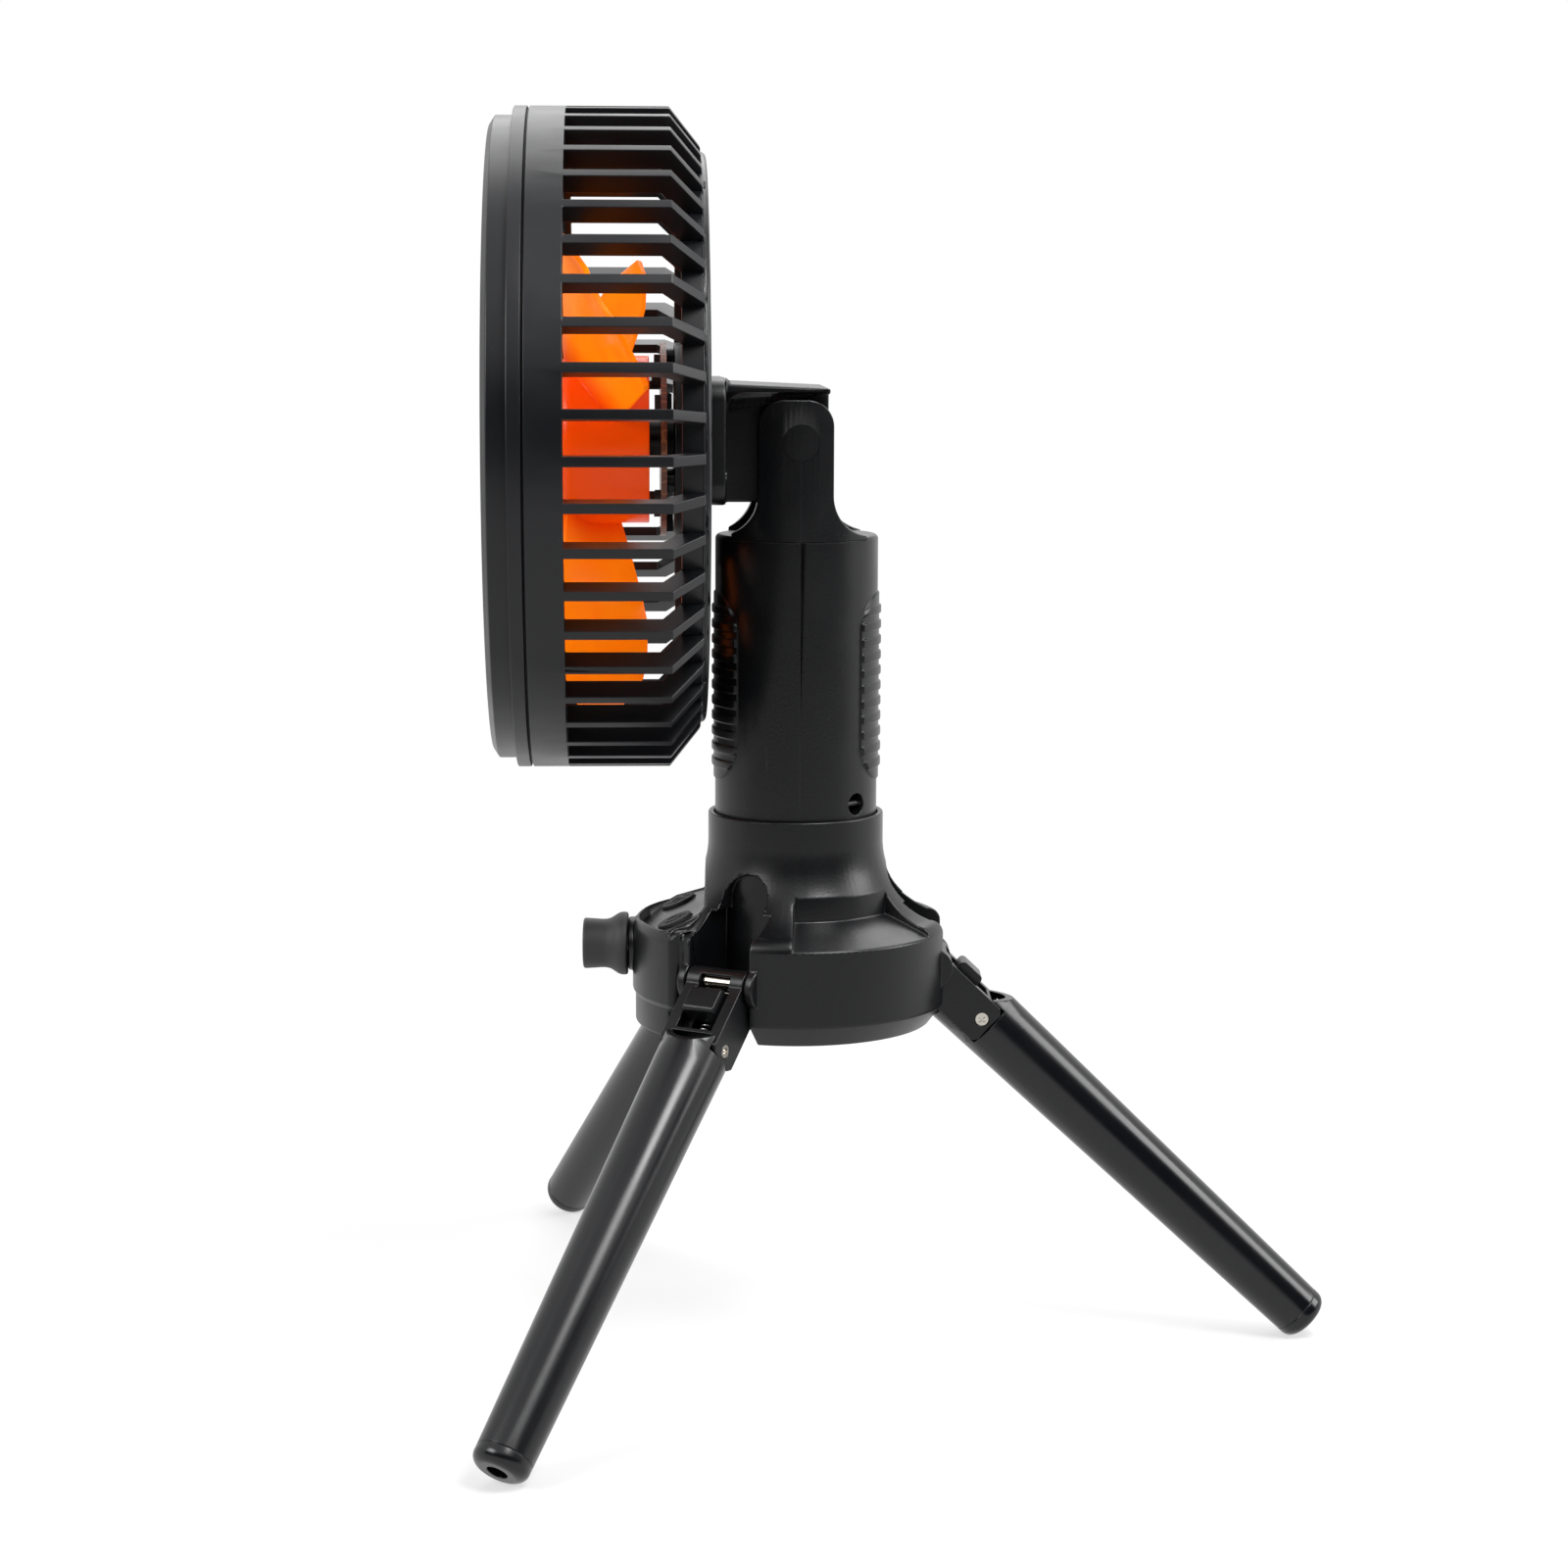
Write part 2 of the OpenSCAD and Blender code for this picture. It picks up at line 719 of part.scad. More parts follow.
// Point of the blade: station s, chord place t from -1 to 1, side -1 or 1
function blade_point(s, t, side) =
    let (
        r = boss_r - 0.7 + (blade_r - boss_r + 0.7) * s,
        half = blade_half(s),
        near = pow(1 - min(1, s / 0.58), 1.2),
        round_off = half / (blade_span / 2 * (1 - 0.34 * s)),
        depth = blade_depth / 2 * (1 - 0.41 * near) * round_off,
        pitch = atan2(depth, r * half * PI / 180),
        camber = 1.8 * (1 - t * t) * (1 - 0.4 * s),
        angle = blade_sweep(s) + t * half - side * blade_t / 2 * sin(pitch) / r * 180 / PI,
        middle = blade_mid + 0.12 * blade_depth * near,
        z = middle + t * depth + camber + side * blade_t / 2 * cos(pitch)
    )
    [r * cos(angle), r * sin(angle), z];

// One twisted blade, lofted as a closed mesh
module blade() {
    stations = 9;
    chords = 9;
    per_side = (stations + 1) * (chords + 1);
    points = [for (side = [-1, 1], i = [0:stations], j = [0:chords])
        blade_point(i / stations, 2 * j / chords - 1, side)];
    function at(side, i, j) = side * per_side + i * (chords + 1) + j;
    skin = [for (side = [0, 1], i = [0:stations - 1], j = [0:chords - 1], half = [0, 1])
        let (
            a = at(side, i, j), b = at(side, i + 1, j),
            c = at(side, i + 1, j + 1), d = at(side, i, j + 1),
            face = half == 0 ? [a, b, c] : [a, c, d]
        )
        side == 0 ? face : [face[2], face[1], face[0]]];
    rim = concat(
        [for (j = [0:chords - 1]) [at(0, 0, j), at(0, 0, j + 1), at(1, 0, j + 1), at(1, 0, j)]],
        [for (j = [0:chords - 1])
            [at(0, stations, j + 1), at(0, stations, j), at(1, stations, j), at(1, stations, j + 1)]],
        [for (i = [0:stations - 1]) [at(0, i + 1, 0), at(0, i, 0), at(1, i, 0), at(1, i + 1, 0)]],
        [for (i = [0:stations - 1])
            [at(0, i, chords), at(0, i + 1, chords), at(1, i + 1, chords), at(1, i, chords)]]
    );
    quads = [for (q = rim, half = [0, 1]) half == 0 ? [q[0], q[1], q[2]] : [q[0], q[2], q[3]]];
    polyhedron(points = points, faces = concat(skin, quads), convexity = 4);
}

// Impeller: cup-shaped hub with a rounded nose, and the blades
module impeller() {
    nose = 4;
    color(orange) in_head() {
        rotate_extrude() difference() {
            union() {
                translate([0, boss_back]) square([boss_r, boss_front - boss_back - nose]);
                translate([0, boss_back]) square([boss_r - nose, boss_front - boss_back]);
                translate([boss_r - nose, boss_front - nose]) circle(nose);
            }
            translate([-1, boss_back - 1]) square([can_r + 1, tube_top + 3 + can_t - boss_back + 1]);
            translate([-1, boss_back - 1]) square([shaft_r + 1, boss_front - 3 - boss_back + 1]);
        }
        around(blade_count, blade_turn) blade();
    }
}

// ---------------------------------------------------------------- handle

// Outline of the fork arms seen from the side: X runs to the rear and Y up from the tilt axis
module arm_outline() {
    low = -pivot_rise;
    cove = 11.5;
    difference() {
        union() {
            translate([-arm_front, low - 1]) square([arm_w, arm_top - arm_round - low + 1]);
            translate([-arm_front + arm_round, low]) square([arm_w - 2 * arm_round, arm_top - low]);
            translate([-arm_front + arm_round, arm_top - arm_round]) circle(arm_round);
            translate([arm_back - arm_round, arm_top - arm_round]) circle(arm_round);
            translate([-arm_front - cove, low - 1]) square([arm_w + 2 * cove, cove + 1]);
        }
        translate([-arm_front - cove, low + cove]) circle(cove);
        translate([arm_back + cove, low + cove]) circle(cove);
    }
}

// Grip outline seen from the front: an upright panel with arched ends
module grip_outline() {
    round_rect(grip_w, grip_h, grip_w * 0.33);
}

// Whole outside of the handle, before it is split and hollowed
module handle_body() {
    edge = 1.4;
    rotate_extrude() union() {
        translate([0, handle_foot]) square([handle_r, shoulder_top - handle_foot - edge]);
        translate([0, handle_foot]) square([handle_r - edge, shoulder_top - handle_foot]);
        translate([handle_r - edge, shoulder_top - edge]) circle(edge);
    }
    intersection() {
        disc(handle_r, shoulder_top - 2, pivot_z + arm_top + 1);
        for (side = [-1, 1]) {
            translate([side * (arm_in + handle_r) / 2, 0, pivot_z]) rotate([90, 0, 90]) {
                linear_extrude(handle_r - arm_in, center = true) arm_outline();
            }
        }
    }
    for (face = [-1, 1]) {
        intersection() {
            translate([0, 0, grip_z]) rotate([90, 0, 0]) translate([0, 0, face > 0 ? 0 : -handle_r - 3]) {
                linear_extrude(handle_r + 3) grip_outline();
            }
            union() {
                pipe(handle_r + grip_rise, handle_r - 1, grip_z - grip_h / 2, grip_z + grip_h / 2);
                for (i = [0:grip_ribs - 1]) {
                    rib_z = grip_z + (i - (grip_ribs - 1) / 2) * grip_pitch;
                    pipe(handle_r + grip_rise + rib_rise, handle_r - 1, rib_z - 1.1, rib_z + 1.1);
                }
            }
        }
    }
}

// Handle with its hollow, pin bore, cap seats and strap hole
module handle_whole() {
    difference() {
        union() {
            difference() {
                handle_body();
                disc(handle_r - handle_wall, handle_foot - 1, shoulder_top - handle_wall);
            }
            intersection() {
                translate([0, handle_r - handle_wall - 0.2, post_z]) rotate([90, 0, 0])
                    disc(2.4, 0, 2 * handle_r);
                disc(handle_r - 1, handle_foot, shoulder_top);
            }
            rotate([0, 0, strap_turn]) translate([0, 0, strap_z]) rotate([0, 90, 0]) {
                disc(strap_r + 1.4, strap_in - 1.4, handle_r - 1);
            }
        }
        rotate([0, 0, strap_turn]) translate([0, 0, strap_z]) rotate([0, 90, 0]) {
            disc(strap_r, strap_in, handle_r + 2);
        }
        translate([0, 0, pivot_z]) rotate([0, 90, 0]) {
            cylinder(r = pivot_r, h = 2 * pin_reach, center = true);
            for (side = [0, 180]) rotate([side, 0, 0]) disc(cap_r, pin_reach, handle_r + 1);
        }
    }
    rotate([0, 0, strap_turn]) translate([handle_r - 2.2, 0, strap_z]) rotate([90, 0, 0]) {
        cylinder(r = 0.9, h = 2 * strap_r + 0.6, center = true);
    }
}

// Places and turns its children at each screw that closes the handle from the rear
module at_handle_screws() {
    for (site = [[0, handle_r - 1.2, post_z], [-17.6, arm_back - 1.4, arm_screw_z], [17.6, arm_back - 1.4, arm_screw_z]]) {
        translate(site) rotate([-90, 0, 0]) children();
    }
}

// Front shell of the handle, with the screw post
module handle_front() {
    color(black) difference() {
        handle_whole();
        difference() {
            translate([-handle_r * 2, 0, 0]) cube([handle_r * 4, handle_r * 2, pivot_z * 2]);
            translate([0, handle_r - handle_wall - 0.1, post_z]) rotate([90, 0, 0])
                disc(2.5, 0, 2 * handle_r);
        }
        at_handle_screws() disc(1.1, -handle_screw_l, 5);
    }
}

// Rear shell of the handle, with the strap hole and three screw holes
module handle_rear() {
    color(black) difference() {
        handle_whole();
        translate([-handle_r * 2, -handle_r * 2, 0]) cube([handle_r * 4, handle_r * 2, pivot_z * 2]);
        translate([0, handle_r - handle_wall - 0.1, post_z]) rotate([90, 0, 0]) disc(2.5, 0, 2 * handle_r);
        at_handle_screws() {
            disc(screw_r + 0.4, 0, 5);
            disc(1.1, -handle_screw_l, 1);
        }
    }
}

// Screws that close the handle from the rear
module handle_screws() {
    color(steel) at_handle_screws() screw(screw_r, 0.9, 1.1, handle_screw_l);
}

// Steel pin that the head tilts on
module tilt_pin() {
    color(steel) translate([0, 0, pivot_z]) rotate([0, 90, 0])
        cylinder(r = pivot_r, h = 2 * pin_reach, center = true);
}

// Plain caps over the ends of the tilt pin
module tilt_caps() {
    color(black) intersection() {
        translate([0, 0, pivot_z]) rotate([0, 90, 0]) for (side = [0, 180]) {
            rotate([side, 0, 0]) disc(cap_r - seat_gap, pin_reach, handle_r + 1);
        }
        disc(handle_r - 0.1, pivot_z - 2 * cap_r, pivot_z + 2 * cap_r);
    }
}

// Friction washers between the fork arms and the neck's tongue
module tilt_washers() {
    color(steel) translate([0, 0, pivot_z]) rotate([0, 90, 0]) for (side = [0, 180]) {
        rotate([side, 0, 0]) pipe(6.5, pivot_r, arm_in - arm_gap + 0.08, arm_in);
    }
}

// Two battery cells side by side
module battery_cells() {
    color("#2f6fb5") for (side = [-1, 1]) translate([side * (cell_r + 0.2), 0, 0]) {
        disc(cell_r, cell_z, cell_z + cell_l);
        disc(2.8, cell_z + cell_l - eps, cell_z + cell_l + 0.8);
    }
}

// Cradle that holds the cells and rests in the handle
module battery_cradle() {
    r = handle_r - handle_wall - seat_gap;
    color("#3a3a3c") difference() {
        union() {
            disc(r, cell_z - 1.6, cell_z);
            disc(r, cell_z + cell_l + 0.8, cell_z + cell_l + 2.4);
            for (face = [0, 180]) rotate([0, 0, face]) intersection() {
                translate([-5, r - 6, cell_z - eps]) cube([10, 6, cell_l + 0.8 + 2 * eps]);
                disc(r, cell_z - 1, cell_z + cell_l + 2);
            }
        }
        for (side = [-1, 1]) translate([side * (cell_r + 0.2), 0, 0]) {
            disc(cell_r, cell_z, cell_z + cell_l);
        }
        disc(3, cell_z - 3, cell_z + cell_l + 4);
        rotate([0, 0, strap_turn]) translate([0, 0, strap_z]) rotate([0, 90, 0]) {
            disc(strap_r + 1.8, strap_in - 2, handle_r);
        }
    }
}

// ---------------------------------------------------------------- hub

// Outline of a lobe without its flare, as radius and height
module lobe_outline(tuck, bevel) {
    polygon([[0, 0], [hub_r - tuck, 0], [hub_r, bevel], [hub_r, shoulder_z],
        [hub_r - shoulder_r, shoulder_z], [hub_r - shoulder_r, top_z], [0, top_z]]);
    translate([hub_r - shoulder_r, shoulder_z]) circle(shoulder_r);
}

// Outline of the hollow flare between the lobes and the collar
module flare_outline() {
    difference() {
        translate([0, top_z - eps]) square([hub_r - shoulder_r, flare_top - top_z + eps]);
        translate([flare_mid, flare_top]) circle(flare_r);
    }
}

// Bulge seen from above, with its own middle at the origin and rounded upright edges
module bulge_plan() {
    corner_turn = asin(bulge_round / bulge_core);
    rotate(-90) {
        wedge(hub_r * 1.5, 2 * (bulge_half - corner_turn));
        wedge(bulge_core * cos(corner_turn), 2 * bulge_half);
        for (side = [-1, 1]) rotate(side * (bulge_half - corner_turn)) translate([bulge_core, 0])
            circle(bulge_round);
    }
}

// Shape of the button panel seen from above, grown by a margin
module panel_plan(margin = 0) {
    translate([0, -front_bulge]) intersection() {
        circle(panel_r + margin);
        rotate(-90) wedge(hub_r * 1.5, 2 * panel_half + margin * 2);
        translate([-hub_r, -hub_r - 1]) square([2 * hub_r, hub_r + 1 - panel_in_r + front_bulge + margin]);
    }
}

// Space above the sloping panel, from a depth below its surface
module above_panel(depth) {
    in_panel() translate([-hub_r, -hub_r, -depth]) cube([2 * hub_r, 2 * hub_r, hub_r]);
}

// One leg slot, open below and outwards, with an arched niche above it and the core as its back
module leg_slot() {
    difference() {
        union() {
            translate([0, -slot_w / 2, -3]) cube([hub_r * 2, slot_w, slot_top + 3]);
            translate([0, -niche_w / 2, slot_top - 2])
                cube([hub_r * 2, niche_w, niche_top - niche_w / 2 - slot_top + 2]);
            translate([0, 0, niche_top - niche_w / 2]) rotate([0, 90, 0])
                cylinder(r = niche_w / 2, h = hub_r * 2);
        }
        disc(core_r, -4, niche_top + niche_w);
    }
}

// Hollow of the lobes, left clear of the slots' side walls and of the core
module lobe_hollow() {
    wall_r = hub_r - hub_wall;
    difference() {
        union() {
            rotate_extrude() polygon([[core_r - 1, 1], [cover_plate_r - 1.2, 1],
                [cover_plate_r - 1.2, cover_plate_t + 0.5], [wall_r, hub_bevel + 3.5],
                [wall_r, shoulder_z - 1.2], [core_r - 1, shoulder_z - 1.2]]);
            difference() {
                intersection() {
                    translate([0, -front_bulge, 0]) disc(wall_r, bulge_bevel + 1, hub_r);
                    rotate([0, 0, -90]) linear_extrude(hub_r) wedge(hub_r * 2, 2 * panel_half);
                }
                above_panel(panel_roof);
            }
        }
        disc(core_r, -2, flare_top);
        for (turn = leg_turns) rotate([0, 0, turn]) {
            translate([0, -slot_w / 2 - slot_wall, -2])
                cube([hub_r * 2, slot_w + 2 * slot_wall, hub_r * 2]);
        }
        for (turn = hub_screw_turns) rotate([0, 0, turn]) translate([hub_screw_r, 0, 0]) {
            pipe(2.8, 1.1, 0, cover_plate_t + 12);
        }
    }
}

// Hub: three lobes, collar, leg slots, ledges and the seats for panel, knob and handle
module hub() {
    color(black) on_hub() difference() {
        union() {
            rotate_extrude() {
                lobe_outline(hub_tuck, hub_bevel);
                flare_outline();
                square([collar_r, collar_h]);
            }
            translate([0, -front_bulge, 0]) intersection() {
                rotate_extrude() lobe_outline(bulge_bevel, bulge_bevel);
                linear_extrude(collar_h) bulge_plan();
            }
            difference() {
                linear_extrude(collar_h) panel_plan(panel_ledge);
                above_panel(-0.4);
            }
            in_knob() disc(knob_r + 0.4, hub_r - 6, knob_back - clear);
            for (turn = leg_turns) rotate([0, 0, turn]) translate([hinge_r - 1.4, 0, hinge_z - 0.5]) {
                rotate([90, 0, 0]) cylinder(r = hinge_boss_r, h = slot_w + 2 * slot_wall - 0.2, center = true);
            }
        }
        for (turn = leg_turns) rotate([0, 0, turn]) leg_slot();
        lobe_hollow();
        for (turn = lobe_turns) rotate([0, 0, turn - ledge_span / 2]) rotate_extrude(angle = ledge_span) {
            polygon([[ledge_r, ledge_z], [ledge_r, flare_top], [hub_r + 2, flare_top], [hub_r + 2, top_z - 3.7]]);
        }
        disc(handle_r + clear, handle_foot, collar_h + 1);
        disc(handle_r - handle_wall - 1, socket_floor - 1, handle_foot + 1);
        disc(core_r - hub_wall, 0.5, socket_floor);
        disc(cover_plate_r + seat_gap, -1, cover_plate_t);
        intersection() {
            linear_extrude(collar_h) panel_plan(seat_gap);
            above_panel(panel_t);
        }
        intersection() {
            linear_extrude(collar_h) panel_plan(-panel_ledge);
            above_panel(panel_roof + eps);
        }
        in_knob() cylinder(r = spindle_r + running, h = hub_r * 2);
        for (turn = leg_turns) rotate([0, 0, turn]) translate([hinge_r, 0, hinge_z]) rotate([90, 0, 0]) {
            cylinder(r = pin_r, h = pin_l, center = true);
        }
    }
}

// Plate that closes the underside, notched for the leg slots
module bottom_cover() {
    color(black) on_hub() difference() {
        disc(cover_plate_r, 0, cover_plate_t);
        for (turn = leg_turns) rotate([0, 0, turn]) {
            translate([core_r - hub_wall, -slot_w / 2 - slot_wall, -1]) {
                cube([hub_r, slot_w + 2 * slot_wall, cover_plate_t + 2]);
            }
        }
        for (turn = hub_screw_turns) rotate([0, 0, turn]) translate([hub_screw_r, 0, 0]) {
            disc(1.3, -1, cover_plate_t + 1);
            disc(2.4, -1, 1.1);
        }
    }
}

// Screws of the bottom cover
module hub_screws() {
    color(steel) on_hub() for (turn = hub_screw_turns) rotate([0, 0, turn])
        translate([hub_screw_r, 0, 1.1]) {
        mirror([0, 0, 1]) screw(2.2, 0.9, 1.1, 9);
    }
}

// Steel pins of the three leg hinges, held in the walls of the slots
module hinge_pins() {
    color("#55585c") on_hub() for (turn = leg_turns) rotate([0, 0, turn]) translate([hinge_r, 0, hinge_z]) {
        rotate([90, 0, 0]) cylinder(r = pin_r, h = pin_l, center = true);
    }
}

// Barrels that turn on the hinge pins between the ears of the brackets
module hinge_sleeves() {
    color("#3a3c3f") on_hub() for (turn = leg_turns) rotate([0, 0, turn]) translate([hinge_r, 0, hinge_z]) {
        rotate([90, 0, 0]) pipe(sleeve_r, pin_r, clear - ear_gap / 2, ear_gap / 2 - clear);
    }
}

// ---------------------------------------------------------------- controls

// Oval outline of a button, grown by a margin
module button_outline(margin = 0) {
    scale([button_l / 2 + margin, button_w / 2 + margin]) circle(1, $fn = 48);
}

// Sloping panel with its two button openings and the posts that hold the board
module button_panel() {
    color(black_gloss) on_hub() difference() {
        intersection() {
            linear_extrude(collar_h) panel_plan();
            in_panel() translate([-hub_r, -hub_r, -panel_t]) cube([2 * hub_r, 2 * hub_r, panel_t]);
        }
        in_panel() for (side = [-1, 1]) translate([side * button_x, button_y, -panel_t - 1]) {
            linear_extrude(panel_t + 2) button_outline(clear);
        }
    }
    color(black_gloss) on_hub() in_panel() for (y = [-2.6, 2.6]) {
        translate([0, button_y + y, 0]) disc(1.4, -board_drop, -panel_t + eps);
    }
}

// Circuit board under the button panel
module switch_board() {
    color("#2c5f3c") on_hub() in_panel() translate([0, button_y, -board_drop - 1]) {
        linear_extrude(1) round_rect(2 * button_x + 10, board_depth, 1.2);
    }
}

// Two small switches under the buttons
module button_switches() {
    color(steel) on_hub() in_panel() for (side = [-1, 1]) translate([side * button_x, button_y, 0]) {
        post(6, 6, -board_drop, -board_drop + 1.2);
        disc(1.7, -board_drop + 1.2 - eps, -panel_t - 1 - button_travel - 0.1);
    }
}

// Oval button with the flange that keeps it behind the panel
module button(side) {
    on_hub() in_panel() translate([side * button_x, button_y, -panel_t]) {
        translate([0, 0, -0.4]) linear_extrude(panel_t + 0.4 + button_rise) button_outline();
        translate([0, 0, -1]) linear_extrude(0.9) button_outline(button_lip);
    }
}

// Power button
module power_button() {
    color(rubber) button(1);
}

// Light button
module light_button() {
    color(rubber) button(-1);
}

// Body of the speed control, fixed behind the front wall
module speed_dial() {
    color("#8a8d90") on_hub() in_knob() difference() {
        translate([-5.5, dial_top - dial_w - knob_z, dial_back]) cube([11, dial_w, dial_l]);
        cylinder(r = spindle_r + running, h = hub_r * 2);
    }
}

// Spindle that turns with the knob
module knob_spindle() {
    color(steel) on_hub() in_knob() disc(spindle_r, dial_back + 0.5, knob_back + knob_l - 3);
}

// Rubber knob: flange, waist and grip
module speed_knob() {
    tip = 0.9;
    color(rubber) on_hub() in_knob() difference() {
        rotate_extrude() difference() {
            union() {
                polygon([[0, knob_back], [knob_flange_r - 0.5, knob_back], [knob_flange_r, knob_back + 0.6],
                    [knob_flange_r, knob_back + 1.6], [knob_r, knob_back + 3.6],
                    [knob_r, knob_back + knob_l - tip], [0, knob_back + knob_l - tip]]);
                translate([0, knob_back + knob_l - tip - eps]) square([knob_r - tip, tip + eps]);
                translate([knob_r - tip, knob_back + knob_l - tip]) circle(tip);
            }
            translate([-1, knob_back - 1]) square([spindle_r + 1, knob_l - 2]);
        }
        rotate([0, 0, 90]) translate([knob_r - 1.6, 0, 0])
            post(1, 1.2, knob_back + knob_l - 0.5, knob_back + knob_l + 1);
    }
}

// ---------------------------------------------------------------- legs

// Side outline of a bracket: knuckle round the pin and a cheek along the leg
module bracket_side(length) {
    union() {
        circle(knuckle_r);
        polygon([[-knuckle_r * 0.8, -knuckle_r * 0.6], [1.5, cheek_low], [length - 1.5, cheek_low],
            [length, cheek_low + 1.5], [length, cheek_top - 1.5], [length - 1.5, cheek_top], [0, cheek_top]]);
    }
}

// Leg bracket: two ears on the pin, cheeks beside the tube and a channel for the latch
module bracket(turn) {
    half = bracket_w / 2;
    in_leg(turn) difference() {
        rotate([90, 0, 0]) linear_extrude(bracket_w, center = true) bracket_side(cheek_l);
        rotate([90, 0, 0]) linear_extrude(ear_gap, center = true) {
            circle(sleeve_gap);
            translate([0, -bracket_w]) square([latch_front - clear, 2 * bracket_w]);
            translate([-bracket_w, -bracket_w]) square([bracket_w + 1, bracket_w - 1]);
        }
        translate([tube_start, -cheek_in, cheek_low - 1])
            cube([cheek_l, 2 * cheek_in, cheek_top - cheek_low + 2]);
        translate([latch_front - 1, -channel_w / 2, channel_floor]) {
            cube([tube_start - 1.2 - latch_front + 1, channel_w, bracket_w]);
        }
        translate([latch_back - 4.5, -well_w / 2, well_floor]) {
            cube([well_back - latch_back + 4.5, well_w, bracket_w]);
        }
        rotate([90, 0, 0]) cylinder(r = pin_r + running, h = bracket_w + 1, center = true);
        for (side = [-1, 1]) translate([screw_x, side * half, -leg_drop]) rotate([side * 90, 0, 0]) {
            translate([0, 0, -1]) cylinder(r = screw_r + seat_gap, h = 1.9);
            cylinder(r = 1.2, h = half);
        }
    }
}

// Tapered leg tube with a scooped mouth, side flats for the cheeks and a screw web
module tube(turn) {
    taper_l = leg_l - foot_l;
    flat = cheek_in - seat_gap;
    in_leg(turn) difference() {
        translate([0, 0, -leg_drop]) rotate([0, 90, 0]) difference() {
            cylinder(r1 = leg_top_r, r2 = leg_tip_r, h = taper_l);
            difference() {
                translate([0, 0, -eps])
                    cylinder(r1 = leg_top_r - leg_wall, r2 = leg_tip_r - leg_wall, h = taper_l + 1);
                translate([-leg_drop, -leg_top_r, tube_start]) cube([leg_top_r * 2, 2 * leg_top_r, plug_l]);
            }
        }
        rotate([90, 0, 0]) linear_extrude(leg_top_r * 3, center = true) {
            polygon([[-1, -leg_top_r * 3], [tube_lip, -leg_top_r * 3], [tube_lip, cheek_low - 0.3],
                [tube_start, cheek_low - 0.3], [tube_start, cheek_top],
                [tube_start + mouth_slope, leg_top_r - leg_drop], [tube_start + mouth_slope, leg_top_r * 2],
                [-1, leg_top_r * 2]]);
        }
        for (side = [-1, 1]) {
            translate([0, side > 0 ? flat : -flat - leg_top_r, cheek_low - seat_gap]) {
                cube([cheek_l + seat_gap, leg_top_r, cheek_top - cheek_low + 2 * seat_gap]);
            }
            translate([screw_x, 0, -leg_drop]) rotate([side * 90, 0, 0]) cylinder(r = 1, h = leg_top_r);
        }
    }
}

// The two screws that clamp the cheeks to the tube
module clamp_screws(turn) {
    in_leg(turn) for (side = [-1, 1]) {
        translate([screw_x, side * (bracket_w / 2 - 0.9), -leg_drop]) rotate([-side * 90, 0, 0]) {
            screw(screw_r, 0.8, 1, 4.5);
        }
    }
}

// Foot cap: rounded end with a hole, and a spigot inside the tube
module foot(turn) {
    start = leg_l - foot_l;
    on_tube(turn) difference() {
        union() {
            rotate_extrude() {
                translate([0, start]) square([leg_tip_r, foot_l - foot_round]);
                translate([0, start]) square([leg_tip_r - foot_round, foot_l]);
                intersection() {
                    translate([leg_tip_r - foot_round, leg_l - foot_round]) circle(foot_round);
                    translate([0, start]) square([leg_tip_r, foot_l]);
                }
            }
            disc(leg_tip_r - leg_wall - seat_gap, start - 8, start + eps);
        }
        disc(foot_hole_r, leg_l - 5, leg_l + 1);
    }
}

// Point of the latch spring: turn count, then the angle round its wire
function coil_point(turns, at, around) =
    let (a = at * 360, r = spring_r + wire_r * cos(around))
    [r * cos(a), r * sin(a), at / turns * (well_back - tail_back - 2 * wire_r) + wire_r + wire_r * sin(around)];

// Compression spring behind the latch
module latch_spring(turn) {
    turns = 3;
    steps = 12;
    sides = 6;
    rings = turns * steps;
    points = [for (i = [0:rings], k = [0:sides - 1]) coil_point(turns, i / steps, k * 360 / sides)];
    walls = [for (i = [0:rings - 1], k = [0:sides - 1])
        let (a = i * sides + k, b = i * sides + (k + 1) % sides)
        [a, b, b + sides, a + sides]];
    ends = [[for (k = [0:sides - 1]) sides - 1 - k], [for (k = [0:sides - 1]) rings * sides + k]];
    in_leg(turn) translate([tail_back, 0, (well_floor + channel_floor) / 2]) rotate([0, 90, 0]) {
        polyhedron(points = points, faces = concat(walls, ends), convexity = 6);
    }
}

// Sliding latch: thumb block on a flange in the channel, with a tail in the spring's well
module latch(turn) {
    in_leg(turn) {
        rotate([90, 0, 0]) linear_extrude(latch_w, center = true) {
            translate([latch_front, channel_floor + 0.1])
                square([latch_l, latch_top - latch_crown - channel_floor - 0.1]);
            translate([latch_front + latch_crown, channel_floor + 0.1]) {
                square([latch_l - 2 * latch_crown, latch_top - channel_floor - 0.1]);
            }
            for (x = [latch_front + latch_crown, latch_back - latch_crown])
                translate([x, latch_top - latch_crown]) circle(latch_crown);
        }
        translate([latch_front, -channel_w / 2 + seat_gap, channel_floor + 0.1]) {
            cube([latch_l, channel_w - 2 * seat_gap, 1.6]);
        }
        translate([tail_back - 2.6, -tail_w / 2, well_floor + 0.2]) {
            cube([2.6, tail_w, channel_floor - well_floor]);
        }
    }
}

right = leg_turns[0];
left = leg_turns[1];
rear = leg_turns[2];

// The right leg
module right_bracket() { color(black) bracket(right); }
module right_tube() { color(black_gloss) tube(right); }
module right_screws() { color(nickel) clamp_screws(right); }
module right_foot() { color(black_gloss) foot(right); }
module right_spring() { color(steel) latch_spring(right); }
module right_latch() { color(black) latch(right); }

// The left leg
module left_bracket() { color(black) bracket(left); }
module left_tube() { color(black_gloss) tube(left); }
module left_screws() { color(nickel) clamp_screws(left); }
module left_foot() { color(black_gloss) foot(left); }
module left_spring() { color(steel) latch_spring(left); }
module left_latch() { color(black) latch(left); }

